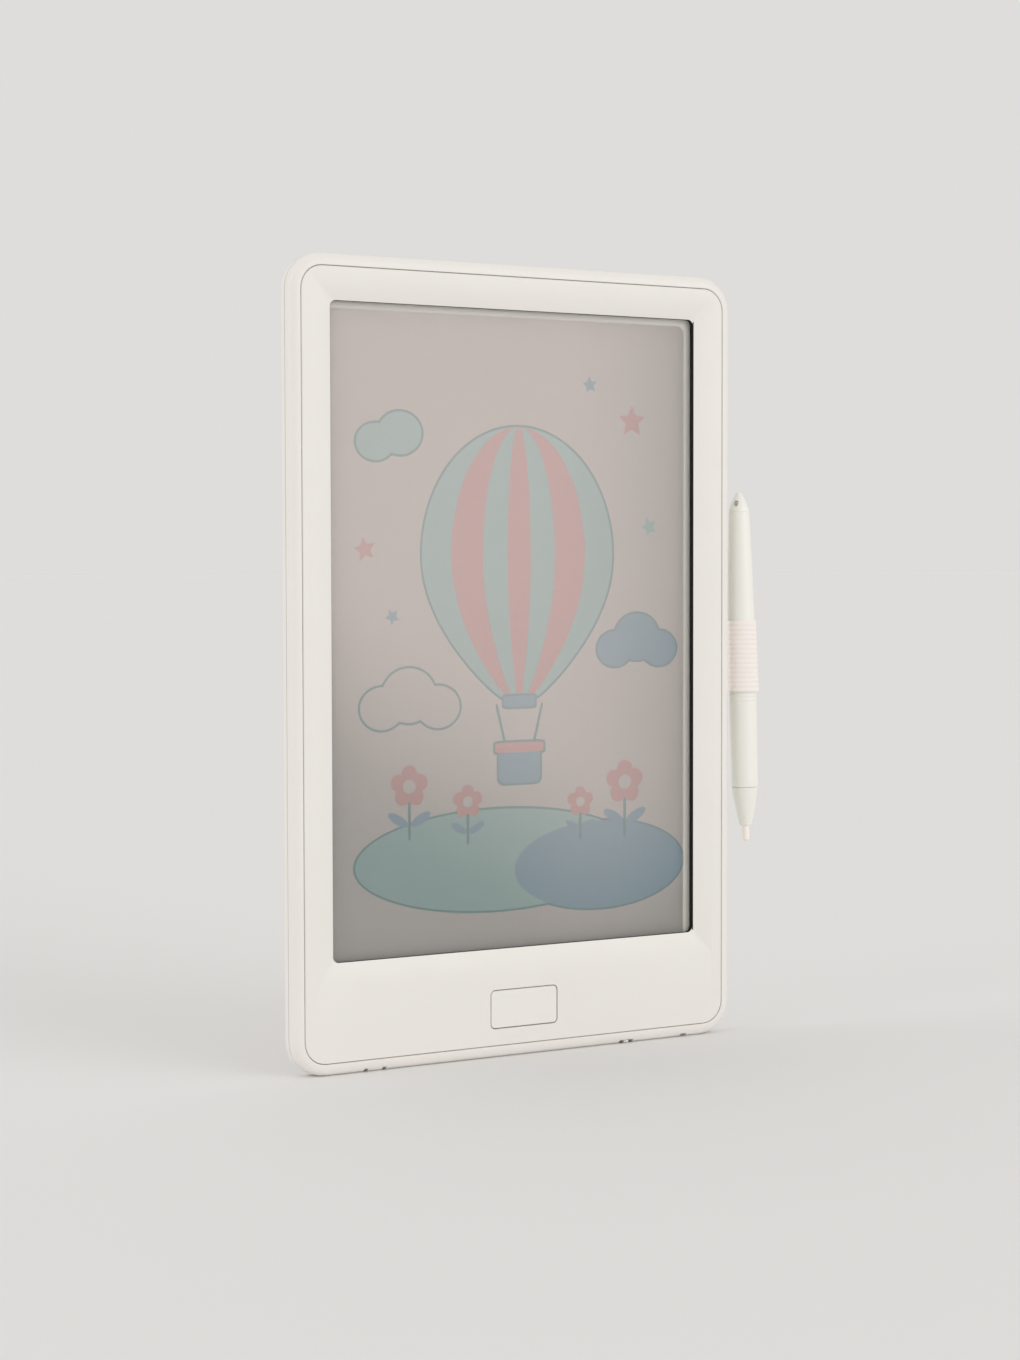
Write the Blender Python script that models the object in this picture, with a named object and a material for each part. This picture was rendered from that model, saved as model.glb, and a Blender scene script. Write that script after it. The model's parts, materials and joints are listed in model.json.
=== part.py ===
"""An LCD writing tablet standing on its bottom edge, with a stylus in an elastic loop at its right side.

Metres, +Z up. The screen faces -Y and the origin is on the bottom edge, at mid width and mid thickness.
A depth is measured from the front plane towards the back, so at_depth() turns it into a Y coordinate.
"""

import math
from collections import namedtuple

import bmesh
import bpy
from mathutils import Matrix, Vector

# Gaps between pieces
RUN_GAP = 0.0003
LAYER_GAP = 0.0001
SEAM_GAP = 0.0003
OVERRUN = 0.0010
SHARP_RADIUS = 0.0002

# Case outline and rim
CASE_WIDTH = 0.1692
CASE_HEIGHT = 0.2645
CASE_CORNER_RADIUS = 0.0118
CASE_WALL = 0.0024
RIM_SIDE = 0.0038
RIM_BOTTOM = 0.0042
RIM_TOP = 0.0043
RIM_LAND = 0.0002
RIM_ROUND_DEPTH = 0.0028
RIM_EDGE_CHAMFER = 0.0002
SEAM_DEPTH = 0.00435
BACK_WALL = 0.0016
BACK_ROUND = 0.0012
LEDGE_REACH = 0.0023
LEDGE_THICKNESS = 0.0010

# Front plate with its window
PARTING_GAP = 0.0002
PLATE_CORNER_RADIUS = 0.0075
PLATE_THICKNESS = 0.0016
PLATE_EDGE_CHAMFER = 0.00025
BAND_SIDE = 0.0041
BAND_TOP = 0.0039
CHIN_HEIGHT = 0.0247
FACET_SIDE = 0.0069
FACET_TOP = 0.00675
FACET_BOTTOM = 0.00744
FACET_DROP = 0.0021
WINDOW_RADIUS = 0.0020
LIP_THICKNESS = 0.00035
LIP_REACH = 0.0022
LIP_SLOPE_RUN = 0.0036

# Screen stack
GASKET_THICKNESS = 0.0013
GASKET_SETBACK = 0.00005
FILM_THICKNESS = 0.0004
FILM_MARGIN = 0.0033
SHEET_THICKNESS = 0.0008
SHEET_MARGIN = 0.0043
CARD_THICKNESS = 0.0004
CARD_ROOM = 0.0006
CARD_TOP_INSET = 0.0020
CARD_CORNER_RADIUS = 0.0030
CARD_RIB_WIDTH = 0.0020
CARD_RIB_OFFSET = 0.0029
FINGER_NOTCH_RADIUS = 0.0100

# Erase button and its switch
BUTTON_WIDTH = 0.0255
BUTTON_HEIGHT = 0.01255
BUTTON_RADIUS = 0.0015
BUTTON_OFFSET_X = 0.0005
BUTTON_ABOVE_PLATE_EDGE = 0.01215
BUTTON_EDGE_ROUND = 0.0003
BUTTON_TRAVEL = 0.0004
FLANGE_REACH = 0.0010
FLANGE_THICKNESS = 0.0006
STEM_DIAMETER = 0.0040
STEM_LENGTH = 0.0003
SWITCH_SIDE = 0.0060
SWITCH_BODY_HEIGHT = 0.0009
PLUNGER_DIAMETER = 0.0034
PLUNGER_HEIGHT = 0.0004

# Circuit board and what is on it
BOARD_THICKNESS = 0.0010
BOARD_LEFT_OF_BUTTON = 0.0185
BOARD_BOTTOM = 0.0072
BOARD_TOP = 0.0270
BOARD_TO_TRAY = 0.0011
BOARD_SCREW_INSET_X = 0.0030
BOARD_SCREW_Z = 0.0110
BOARD_SCREW_RUN_SHARE = 0.45
CHIP_SIZE = (0.0049, 0.0014, 0.0039)
CHIP_RUN_SHARE = 0.53
CHIP_Z = 0.0185
INDUCTOR_DIAMETER = 0.0042
INDUCTOR_HEIGHT = 0.0016
INDUCTOR_RUN_SHARE = 0.725
INDUCTOR_Z = 0.0200
CAPACITOR_SIZE = (0.0032, 0.0010, 0.0016)
CAPACITOR_RUN_SHARE = 0.395
CAPACITOR_Z = 0.0240
CONNECTOR_SIZE = (0.0120, 0.0011, 0.0030)
CONNECTOR_FROM_BOARD_END = 0.0020
TAIL_WIDTH = 0.0100
TAIL_THICKNESS = 0.0002

# Coin cell, its tray and contacts
CELL_DIAMETER = 0.0200
CELL_THICKNESS = 0.0016
CELL_STEP = 0.0004
CELL_CAP_INSET = 0.0012
TRAY_CENTRE_FROM_SIDE = 0.0263
TRAY_SIDE_WALL = 0.0009
TRAY_FACE_WALL = 0.0015
TRAY_FLOOR = 0.0008
CONTACT_THICKNESS = 0.0002
CONTACT_WIDTH = 0.0040
CONTACT_FOOT = 0.0040
CONTACT_REACH = 0.0120
CONTACT_BOTTOM = 0.0130
LEAF_DEPTH = 0.0009
LEAF_FOOT_HEIGHT = 0.0020
NAIL_NOTCH_WIDTH = 0.0027
NAIL_NOTCH_FROM_TRAY_SIDE = 0.0041
NOTCH_FRONT_DEPTH = 0.0007
NOTCH_STEP_DEPTH = 0.00165
NOTCH_HEIGHT = 0.0012

# Lock slider and its switch
LOCK_TO_TRAY = 0.0053
LOCK_TRAVEL = 0.0015
LOCK_PLAY = 0.00035
NUB_WIDTH = 0.0018
NUB_FRONT_DEPTH = 0.0011
NUB_RECESS = 0.0002
NUB_EDGE = 0.0003
NUB_TOP_SETBACK = 0.0004
NUB_TOP_GAP = 0.00025
SLIDER_HALF_WIDTH = 0.0022
SLIDER_HEIGHT = 0.0011
SLIDER_THICKNESS = 0.0010
FORK_HEIGHT = 0.0011
LEVER_WIDTH = 0.0015
LEVER_HEIGHT = 0.0011
LEVER_THICKNESS = 0.0008
SLIDE_SWITCH_SIZE = (0.0068, 0.0016, 0.0034)

# Lanyard eyelet in the bottom edge
EYELET_CENTRE_FROM_SIDE = 0.0294
EYELET_SPAN = 0.0067
EYELET_WIDTH = 0.0014
EYELET_DEPTH = 0.0018
EYELET_BAR = 0.0008

# Case screws
SCREW_ROWS = 4
SCREW_SIDE_INSET = 0.0058
SCREW_END_INSET = 0.0125
SCREW_SHAFT_DIAMETER = 0.0017
SCREW_HEAD_DIAMETER = 0.0036
SCREW_HEAD_THICKNESS = 0.0008
SCREW_LENGTH = 0.0046
SCREW_RECESS = 0.0011
CROSS_LENGTH = 0.0022
CROSS_WIDTH = 0.0005
CROSS_DEPTH = 0.0005
BOSS_WALL = 0.0011
BOSS_OVERLAP = 0.0003
COVER_BOSS_HEIGHT = 0.0011
BOARD_SCREW_LENGTH = 0.0020
BORE_BEYOND_TIP = 0.0003

# Elastic loop and stylus
LOOP_HEIGHT = 0.0250
LOOP_ABOVE_MIDDLE = 0.00035
ELASTIC_THICKNESS = 0.0008
LOOP_AXIS_FROM_CASE = 0.0080
LOOP_SLOT_GAP = 0.00012
LOOP_TAIL_LENGTH = 0.0049
ANCHOR_WIDTH = 0.0024
ANCHOR_THICKNESS = 0.0029
ANCHOR_OVERHANG = 0.0004
STYLUS_LEAN_DEGREES = 1.6
STYLUS_TOP_ABOVE_LOOP = 0.0577
STYLUS_RADIUS = 0.00485
BARREL_LENGTH = 0.1041
BARREL_BORE_RADIUS = 0.0030
BARREL_BORE_LENGTH = 0.0920
BARREL_SEAM_RADIUS = 0.0047
BARREL_TAPER_EXPONENT = 2.0
PLUG_HEIGHT = 0.0067
PLUG_RADIUS = 0.0036
PLUG_END_RADIUS = 0.0011
PLUG_TIP_ROUND = 0.0006
PLUG_TAPER_EXPONENT = 1.4
PLUG_LINE_WIDTH = 0.0003
PLUG_LINE_DEPTH = 0.00015
LANYARD_HOLE_DIAMETER = 0.0021
LANYARD_HOLE_FROM_TOP = 0.0039
LANYARD_HOLE_TURN_DEGREES = -50.0
GRIP_RING_COUNT = 3
GRIP_RING_PITCH = 0.0015
GRIP_RING_DEPTH = 0.00015
GRIP_RING_WIDTH = 0.0005
GRIP_BELOW_LOOP = 0.0005
CONE_LENGTH = 0.0137
CONE_SHOULDER_RADIUS = 0.00465
CONE_TIP_RADIUS = 0.0021
CONE_SWELL = 0.00025
SPIGOT_LENGTH = 0.0060
SPIGOT_GAP = 0.0002
NIB_RADIUS = 0.0012
NIB_LENGTH = 0.0115
NIB_SHOWN = 0.0056
NIB_END_ROUND = 0.0010

# Counts of steps in round shapes
CORNER_STEPS = 7
ROUND_STEPS = 6
BARREL_SIDES = 28
SCREW_SIDES = 16
LOOP_STEPS = 28
TAPER_STEPS = 7

Rect = namedtuple("Rect", "left right bottom top radius")


def inset(rect, amount):
    """The rectangle drawn in by one amount on all sides, or grown where the amount is negative."""
    radius = max(rect.radius - amount, SHARP_RADIUS)
    return Rect(rect.left + amount, rect.right - amount, rect.bottom + amount, rect.top - amount, radius)


def trimmed(rect, side, bottom, top, radius):
    """The rectangle drawn in by its own amount at the sides, the bottom and the top."""
    return Rect(rect.left + side, rect.right - side, rect.bottom + bottom, rect.top - top, radius)


def blend(first, second, share):
    """The rectangle that lies between two others."""
    return Rect(*(a + (b - a) * share for a, b in zip(first, second)))


def centred(x, z, width, height, radius=SHARP_RADIUS):
    """A rectangle about a centre."""
    return Rect(x - width / 2, x + width / 2, z - height / 2, z + height / 2, radius)


# The outlines that several pieces share
OUTER = Rect(-CASE_WIDTH / 2, CASE_WIDTH / 2, 0.0, CASE_HEIGHT, CASE_CORNER_RADIUS)
PLATE = trimmed(OUTER, RIM_SIDE, RIM_BOTTOM, RIM_TOP, PLATE_CORNER_RADIUS)
RIM_INNER = inset(PLATE, -PARTING_GAP)
FACET_OUTER = trimmed(PLATE, BAND_SIDE, CHIN_HEIGHT, BAND_TOP, SHARP_RADIUS)
WINDOW = trimmed(FACET_OUTER, FACET_SIDE, FACET_BOTTOM, FACET_TOP, WINDOW_RADIUS)

# The depths of the layers, from the front plane back
LEDGE_FRONT = PLATE_THICKNESS + LAYER_GAP
LEDGE_BACK = LEDGE_FRONT + LEDGE_THICKNESS
LIP_BACK = FACET_DROP + LIP_THICKNESS
GASKET_FRONT = LIP_BACK + LAYER_GAP
FILM_FRONT = GASKET_FRONT + GASKET_THICKNESS + LAYER_GAP
FILM_BACK = FILM_FRONT + FILM_THICKNESS
SHEET_FRONT = FILM_BACK + LAYER_GAP
SHEET_BACK = SHEET_FRONT + SHEET_THICKNESS
CARD_FRONT = SHEET_BACK + RUN_GAP
CARD_BACK = CARD_FRONT + CARD_THICKNESS
FLOOR_DEPTH = CARD_BACK + CARD_ROOM
CASE_THICKNESS = FLOOR_DEPTH + BACK_WALL
COVER_EDGE = SEAM_DEPTH + SEAM_GAP
BUTTON_SHOULDER = PLATE_THICKNESS + RUN_GAP
BUTTON_BACK = BUTTON_SHOULDER + FLANGE_THICKNESS + STEM_LENGTH
PLUNGER_FRONT = BUTTON_BACK + BUTTON_TRAVEL + LAYER_GAP
SWITCH_FRONT = PLUNGER_FRONT + PLUNGER_HEIGHT
BOARD_FRONT = SWITCH_FRONT + SWITCH_BODY_HEIGHT + LAYER_GAP
BOARD_BACK = BOARD_FRONT + BOARD_THICKNESS
TRAY_BACK = FLOOR_DEPTH - RUN_GAP
CELL_BACK = TRAY_BACK - TRAY_FLOOR - LAYER_GAP
CELL_FRONT = CELL_BACK - CELL_THICKNESS
TRAY_FRONT = CELL_FRONT - RUN_GAP
SEAM_MIDDLE = SEAM_DEPTH + SEAM_GAP / 2

# Places along the bottom edge
CELL_HOLE_RADIUS = CELL_DIAMETER / 2 + RUN_GAP
TRAY_WIDTH = 2 * (CELL_HOLE_RADIUS + TRAY_SIDE_WALL)
TRAY_CENTRE_X = OUTER.right - TRAY_CENTRE_FROM_SIDE
TRAY_LEFT = TRAY_CENTRE_X - TRAY_WIDTH / 2
TRAY_RIGHT = TRAY_CENTRE_X + TRAY_WIDTH / 2
CELL_Z = TRAY_FACE_WALL + CELL_HOLE_RADIUS
TRAY_TOP = CELL_Z + CELL_HOLE_RADIUS + TRAY_SIDE_WALL
BOARD_RIGHT = TRAY_LEFT - BOARD_TO_TRAY
BOARD_LEFT = BUTTON_OFFSET_X - BOARD_LEFT_OF_BUTTON
BOARD_RUN = BOARD_RIGHT - BUTTON_OFFSET_X
LOCK_X = TRAY_LEFT - LOCK_TO_TRAY
EYELET_CENTRE_X = OUTER.left + EYELET_CENTRE_FROM_SIDE
BUTTON_Z = PLATE.bottom + BUTTON_ABOVE_PLATE_EDGE
SLIDER_BOTTOM = CASE_WALL + RUN_GAP
SLIDER_TOP = SLIDER_BOTTOM + SLIDER_HEIGHT
LEVER_BOTTOM = SLIDER_TOP + LAYER_GAP
LEVER_TOP = LEVER_BOTTOM + LEVER_HEIGHT
SLIDER_FRONT = LEDGE_BACK + RUN_GAP
LEVER_FRONT = SLIDER_FRONT + LAYER_GAP

# Places along the sides
LOOP_X = OUTER.right + LOOP_AXIS_FROM_CASE
BORE_RADIUS = STYLUS_RADIUS + RUN_GAP
LOOP_RADIUS = BORE_RADIUS + ELASTIC_THICKNESS
LOOP_CENTRE_Z = CASE_HEIGHT / 2 + LOOP_ABOVE_MIDDLE
LOOP_BOTTOM = LOOP_CENTRE_Z - LOOP_HEIGHT / 2
LOOP_TOP = LOOP_CENTRE_Z + LOOP_HEIGHT / 2
TAIL_END_X = OUTER.right - LOOP_TAIL_LENGTH
SCREW_X = OUTER.right - SCREW_SIDE_INSET
SCREW_SEAT = CASE_THICKNESS - SCREW_RECESS
SCREW_HOLE_RADIUS = SCREW_SHAFT_DIAMETER / 2 + RUN_GAP
HEAD_HOLE_RADIUS = SCREW_HEAD_DIAMETER / 2 + RUN_GAP
BOSS_RADIUS = SCREW_HOLE_RADIUS + BOSS_WALL
COVER_BOSS_FRONT = FLOOR_DEPTH - COVER_BOSS_HEIGHT
FRAME_BOSS_BACK = COVER_BOSS_FRONT - LAYER_GAP


def at_depth(depth):
    """The Y coordinate of a depth below the front plane."""
    return depth - CASE_THICKNESS / 2


def screw_places():
    """The centres of the case screws, as (x, z)."""
    low = OUTER.bottom + SCREW_END_INSET
    step = (CASE_HEIGHT - 2 * SCREW_END_INSET) / (SCREW_ROWS - 1)
    return [(side * SCREW_X, low + row * step) for side in (-1, 1) for row in range(SCREW_ROWS)]


def board_screw_places():
    """The centres of the two circuit board screws, as (x, z)."""
    left = BOARD_LEFT + BOARD_SCREW_INSET_X
    right = BUTTON_OFFSET_X + BOARD_RUN * BOARD_SCREW_RUN_SHARE
    return [(left, BOARD_SCREW_Z), (right, BOARD_SCREW_Z)]


# Building blocks

def outline(rect):
    """The points of a rectangle with round corners, as (x, z), anticlockwise seen from the front."""
    radius = rect.radius
    centres = (
        (rect.right - radius, rect.bottom + radius, -math.pi / 2),
        (rect.right - radius, rect.top - radius, 0.0),
        (rect.left + radius, rect.top - radius, math.pi / 2),
        (rect.left + radius, rect.bottom + radius, math.pi),
    )
    points = []
    for x, z, start in centres:
        for step in range(CORNER_STEPS + 1):
            angle = start + step / CORNER_STEPS * math.pi / 2
            points.append((x + radius * math.cos(angle), z + radius * math.sin(angle)))
    return points


def add_rings(bm, rings, closed=False):
    """A body through rings of equal length, closed onto its first ring or capped at both ends."""
    loops = [[bm.verts.new(point) for point in ring] for ring in rings]
    pairs = list(zip(loops, loops[1:]))
    if closed:
        pairs.append((loops[-1], loops[0]))
    for first, second in pairs:
        for index, vert in enumerate(first):
            after = (index + 1) % len(first)
            bm.faces.new((vert, first[after], second[after], second[index]))
    if not closed:
        bm.faces.new(loops[0])
        bm.faces.new(loops[-1])


def add_layers(bm, layers, closed=False):
    """A body through round-cornered rectangles, given as (rect, depth)."""
    add_rings(bm, [[(x, at_depth(depth), z) for x, z in outline(rect)] for rect, depth in layers], closed)


def add_prism(bm, points, front, back):
    """An (x, z) outline stretched from one depth to another."""
    add_rings(bm, [[(x, at_depth(depth), z) for x, z in points] for depth in (front, back)])


def add_box(bm, left, right, front, back, bottom, top):
    """A box between two depths."""
    add_prism(bm, [(left, bottom), (right, bottom), (right, top), (left, top)], front, back)


def add_block(bm, x, z, size, back):
    """A box of a size in x, depth and z, centred at (x, z), whose rear face is at a depth."""
    width, thickness, height = size
    add_box(bm, x - width / 2, x + width / 2, back - thickness, back, z - height / 2, z + height / 2)


def circle(x, z, radius, sides):
    """The points of a circle in the screen plane."""
    angles = [index / sides * math.tau for index in range(sides)]
    return [(x + radius * math.cos(angle), z + radius * math.sin(angle)) for angle in angles]


def add_rod(bm, x, z, radius, front, back, sides=SCREW_SIDES):
    """A round rod that runs from front to back."""
    add_prism(bm, circle(x, z, radius, sides), front, back)


def add_turned(bm, profile, sides):
    """A closed profile of (radius, height) turned round the local Z axis."""
    rings = []
    for radius, height in profile:
        angles = [index / sides * math.tau for index in range(sides)]
        rings.append([(radius * math.cos(angle), radius * math.sin(angle), height) for angle in angles])
    add_rings(bm, rings)


def make_material(name, colour, roughness, metallic=0.0):
    """A Principled material."""
    material = bpy.data.materials.new(name)
    material.use_nodes = True
    shader = material.node_tree.nodes["Principled BSDF"]
    shader.inputs["Base Color"].default_value = (*colour, 1.0)
    shader.inputs["Roughness"].default_value = roughness
    shader.inputs["Metallic"].default_value = metallic
    return material


def make_mesh(name, bm):
    """A mesh of the bodies, with all faces pointing out and round stretches shaded smooth."""
    bmesh.ops.recalc_face_normals(bm, faces=bm.faces)
    mesh = bpy.data.meshes.new(name)
    bm.to_mesh(mesh)
    bm.free()
    mesh.shade_smooth()
    mesh.set_sharp_from_angle(angle=math.radians(32.0))
    return mesh


def make_object(name, bm, material, parent=None):
    """A named piece of the object."""
    obj = bpy.data.objects.new(name, make_mesh(name, bm))
    bpy.context.scene.collection.objects.link(obj)
    obj.data.materials.append(material)
    obj.parent = parent
    return obj


def shape_with(target, tool_name, operation, bm, solver="EXACT"):
    """Cuts or joins hidden bodies on a piece with a Boolean modifier."""
    tool = bpy.data.objects.new(tool_name, make_mesh(tool_name, bm))
    bpy.context.scene.collection.objects.link(tool)
    tool.parent = target.parent
    tool.hide_render = True
    tool.display_type = "WIRE"
    modifier = target.modifiers.new(tool_name, "BOOLEAN")
    modifier.operation = operation
    modifier.solver = solver
    modifier.object = tool


# Case

def case_frame(material):
    """The rim round the front plate, with the ledge that carries the plate and the screw bosses."""
    edge = inset(RIM_INNER, -RIM_LAND - RIM_EDGE_CHAMFER)
    layers = [(inset(RIM_INNER, -RIM_EDGE_CHAMFER), 0.0)]
    for step in range(ROUND_STEPS + 1):
        angle = step / ROUND_STEPS * math.pi / 2
        layers.append((blend(edge, OUTER, math.sin(angle)), RIM_ROUND_DEPTH * (1 - math.cos(angle))))
    wall_inner = inset(OUTER, CASE_WALL)
    ledge_inner = inset(PLATE, LEDGE_REACH)
    layers += [
        (OUTER, SEAM_DEPTH),
        (wall_inner, SEAM_DEPTH),
        (wall_inner, LEDGE_BACK),
        (ledge_inner, LEDGE_BACK),
        (ledge_inner, LEDGE_FRONT),
        (RIM_INNER, LEDGE_FRONT),
        (RIM_INNER, RIM_EDGE_CHAMFER),
    ]
    bm = bmesh.new()
    add_layers(bm, layers, closed=True)
    frame = make_object("case_frame", bm, material)

    bosses = bmesh.new()
    for x, z in screw_places():
        add_rod(bosses, x, z, BOSS_RADIUS, LEDGE_BACK - BOSS_OVERLAP, FRAME_BOSS_BACK)
    shape_with(frame, "frame_bosses", "UNION", bosses)

    cuts = bmesh.new()
    for x, z in screw_places():
        add_rod(cuts, x, z, SCREW_HOLE_RADIUS, LEDGE_FRONT - OVERRUN, FRAME_BOSS_BACK + OVERRUN)
    add_loop_slot(cuts)
    add_tray_bay(cuts)
    add_lock_slot(cuts)
    shape_with(frame, "frame_cuts", "DIFFERENCE", cuts)

    openings = bmesh.new()
    add_nail_notch(openings)
    add_eyelet_ends(openings)
    shape_with(frame, "frame_openings", "DIFFERENCE", openings, "MANIFOLD")
    passage = bmesh.new()
    add_eyelet_passage(passage)
    shape_with(frame, "frame_passage", "DIFFERENCE", passage, "MANIFOLD")
    return frame


def add_loop_slot(bm):
    """The slot in the right wall that the elastic's two layers pass through."""
    reach = ELASTIC_THICKNESS + LOOP_SLOT_GAP
    left = OUTER.right - CASE_WALL - OVERRUN
    right = OUTER.right + OVERRUN
    bottom = LOOP_BOTTOM - RUN_GAP
    top = LOOP_TOP + RUN_GAP
    add_box(bm, left, right, SEAM_MIDDLE - reach, SEAM_MIDDLE + reach, bottom, top)


def add_tray_bay(bm):
    """The way that the battery tray slides along, through the bottom wall."""
    left = TRAY_LEFT - RUN_GAP
    right = TRAY_RIGHT + RUN_GAP
    add_box(bm, left, right, TRAY_FRONT - RUN_GAP, FLOOR_DEPTH, -OVERRUN, TRAY_TOP + RUN_GAP)


def add_nail_notch(bm):
    """The small notch in the rim's bottom edge that bares the tray's front edge for a fingernail."""
    x = TRAY_RIGHT - NAIL_NOTCH_FROM_TRAY_SIDE
    left = x - NAIL_NOTCH_WIDTH / 2
    right = x + NAIL_NOTCH_WIDTH / 2
    add_box(bm, left, right, NOTCH_FRONT_DEPTH, TRAY_FRONT + LAYER_GAP, -OVERRUN, NOTCH_HEIGHT)


def add_stepped_slot(bm, left, right, back, height):
    """A slot in the bottom edge, low where it comes out in the rounded rim and higher behind it."""
    section = [
        (NOTCH_FRONT_DEPTH, -OVERRUN),
        (back, -OVERRUN),
        (back, height),
        (NOTCH_STEP_DEPTH, height),
        (NOTCH_STEP_DEPTH, NOTCH_HEIGHT),
        (NOTCH_FRONT_DEPTH, NOTCH_HEIGHT),
    ]
    add_rings(bm, [[(x, at_depth(depth), z) for depth, z in section] for x in (left, right)])


def add_lock_slot(bm):
    """The slot in the bottom edge that the lock slider's nub moves in."""
    reach = NUB_WIDTH / 2 + LOCK_TRAVEL + LOCK_PLAY
    add_stepped_slot(bm, LOCK_X - reach, LOCK_X + reach, COVER_EDGE + OVERRUN, SLIDER_BOTTOM)


def eyelet_places():
    """The centres of the eyelet's two ends."""
    return [EYELET_CENTRE_X + side * EYELET_SPAN / 2 for side in (-1, 1)]


def add_eyelet_ends(bm):
    """The two holes in the bottom edge that a lanyard goes in and out through."""
    half = EYELET_WIDTH / 2
    for x in eyelet_places():
        add_stepped_slot(bm, x - half, x + half, SEAM_DEPTH + OVERRUN, EYELET_DEPTH)


def add_eyelet_passage(bm):
    """The way from one eyelet hole to the other, over the bar that a lanyard is tied round."""
    left, right = eyelet_places()
    front = NOTCH_STEP_DEPTH + SHARP_RADIUS
    add_box(bm, left, right, front, SEAM_DEPTH + OVERRUN, EYELET_BAR, EYELET_DEPTH - SHARP_RADIUS)


def front_plate(material):
    """The front plate: a flat band and chin, sloped facets down to the window, and the button's hole."""
    lip_outer = inset(WINDOW, -LIP_REACH)
    slope_outer = inset(lip_outer, -LIP_SLOPE_RUN)
    layers = [
        (PLATE, PLATE_EDGE_CHAMFER),
        (inset(PLATE, PLATE_EDGE_CHAMFER), 0.0),
        (FACET_OUTER, 0.0),
        (WINDOW, FACET_DROP),
        (WINDOW, LIP_BACK),
        (lip_outer, LIP_BACK),
        (slope_outer, PLATE_THICKNESS),
        (PLATE, PLATE_THICKNESS),
    ]
    bm = bmesh.new()
    add_layers(bm, layers, closed=True)
    plate = make_object("front_plate", bm, material)

    cuts = bmesh.new()
    hole = inset(button_rect(), -RUN_GAP)
    add_layers(cuts, [(hole, -OVERRUN), (hole, PLATE_THICKNESS + OVERRUN)])
    shape_with(plate, "button_hole", "DIFFERENCE", cuts)
    return plate


def rear_cover(material):
    """The back shell, with the ribs that hold the clear sheet, the screw bosses and the card's slot."""
    inner = inset(OUTER, CASE_WALL)
    layers = [(inner, FLOOR_DEPTH), (inner, COVER_EDGE), (OUTER, COVER_EDGE)]
    for step in range(ROUND_STEPS + 1):
        angle = step / ROUND_STEPS * math.pi / 2
        drawn_in = BACK_ROUND * (1 - math.cos(angle))
        layers.append((inset(OUTER, drawn_in), CASE_THICKNESS - BACK_ROUND * (1 - math.sin(angle))))
    bm = bmesh.new()
    add_layers(bm, layers)
    cover = make_object("rear_cover", bm, material)

    shape_with(cover, "cover_ribs", "UNION", cover_rib_shape())
    bosses = bmesh.new()
    for x, z in screw_places():
        add_rod(bosses, x, z, BOSS_RADIUS, COVER_BOSS_FRONT, FLOOR_DEPTH + BOSS_OVERLAP)
    for x, z in board_screw_places():
        add_rod(bosses, x, z, BOSS_RADIUS, BOARD_BACK + LAYER_GAP, FLOOR_DEPTH + BOSS_OVERLAP)
    shape_with(cover, "cover_bosses", "UNION", bosses)

    cuts = bmesh.new()
    for x, z in screw_places():
        add_rod(cuts, x, z, SCREW_HOLE_RADIUS, COVER_BOSS_FRONT - OVERRUN, CASE_THICKNESS + OVERRUN)
    for x, z in board_screw_places():
        tip = BOARD_FRONT - LAYER_GAP + BOARD_SCREW_LENGTH
        add_rod(cuts, x, z, SCREW_HOLE_RADIUS, BOARD_BACK - OVERRUN, tip + BORE_BEYOND_TIP)
    add_loop_slot(cuts)
    add_tray_bay(cuts)
    add_lock_slot(cuts)
    add_card_slot(cuts)
    shape_with(cover, "cover_cuts", "DIFFERENCE", cuts)

    recesses = bmesh.new()
    for x, z in screw_places():
        add_rod(recesses, x, z, HEAD_HOLE_RADIUS, SCREW_SEAT, CASE_THICKNESS + OVERRUN)
    notch = circle(0.0, OUTER.top, FINGER_NOTCH_RADIUS, BARREL_SIDES)
    add_prism(recesses, notch, FLOOR_DEPTH - OVERRUN, CASE_THICKNESS + OVERRUN)
    shape_with(cover, "cover_recesses", "DIFFERENCE", recesses, "MANIFOLD")
    return cover


def cover_rib_shape():
    """Three ribs in a U that the clear sheet rests on and the card slides between."""
    card_way = inset(WINDOW, -CARD_RIB_OFFSET)
    rib_outer = inset(card_way, -CARD_RIB_WIDTH)
    points = [
        (rib_outer.left, rib_outer.bottom),
        (rib_outer.right, rib_outer.bottom),
        (rib_outer.right, card_way.top),
        (card_way.right, card_way.top),
        (card_way.right, card_way.bottom),
        (card_way.left, card_way.bottom),
        (card_way.left, card_way.top),
        (rib_outer.left, card_way.top),
    ]
    bm = bmesh.new()
    add_prism(bm, points, SHEET_BACK + LAYER_GAP, FLOOR_DEPTH + BOSS_OVERLAP)
    return bm


def add_card_slot(bm):
    """The slot in the top wall that the picture card slides through."""
    card = card_rect()
    bottom = OUTER.top - CASE_WALL - OVERRUN
    add_box(bm, card.left - RUN_GAP, card.right + RUN_GAP, CARD_FRONT - RUN_GAP, CARD_BACK + RUN_GAP,
            bottom, OUTER.top + OVERRUN)


# Screen stack

def sheet_rect(margin):
    """A sheet that reaches past the window by a margin."""
    return inset(WINDOW, -margin)


def card_rect():
    """The card, between its ribs and up to just below the top of the case."""
    card_way = inset(WINDOW, -CARD_RIB_OFFSET)
    bottom = card_way.bottom + RUN_GAP
    top = OUTER.top - CARD_TOP_INSET
    return Rect(card_way.left + RUN_GAP, card_way.right - RUN_GAP, bottom, top, CARD_CORNER_RADIUS)


def screen_gasket(material):
    """The black foam frame between the plate's lip and the film."""
    inner = inset(WINDOW, -GASKET_SETBACK)
    outer = inset(WINDOW, -LIP_REACH)
    back = GASKET_FRONT + GASKET_THICKNESS
    bm = bmesh.new()
    layers = [(inner, GASKET_FRONT), (outer, GASKET_FRONT), (outer, back), (inner, back)]
    add_layers(bm, layers, closed=True)
    return make_object("screen_gasket", bm, material)


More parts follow.
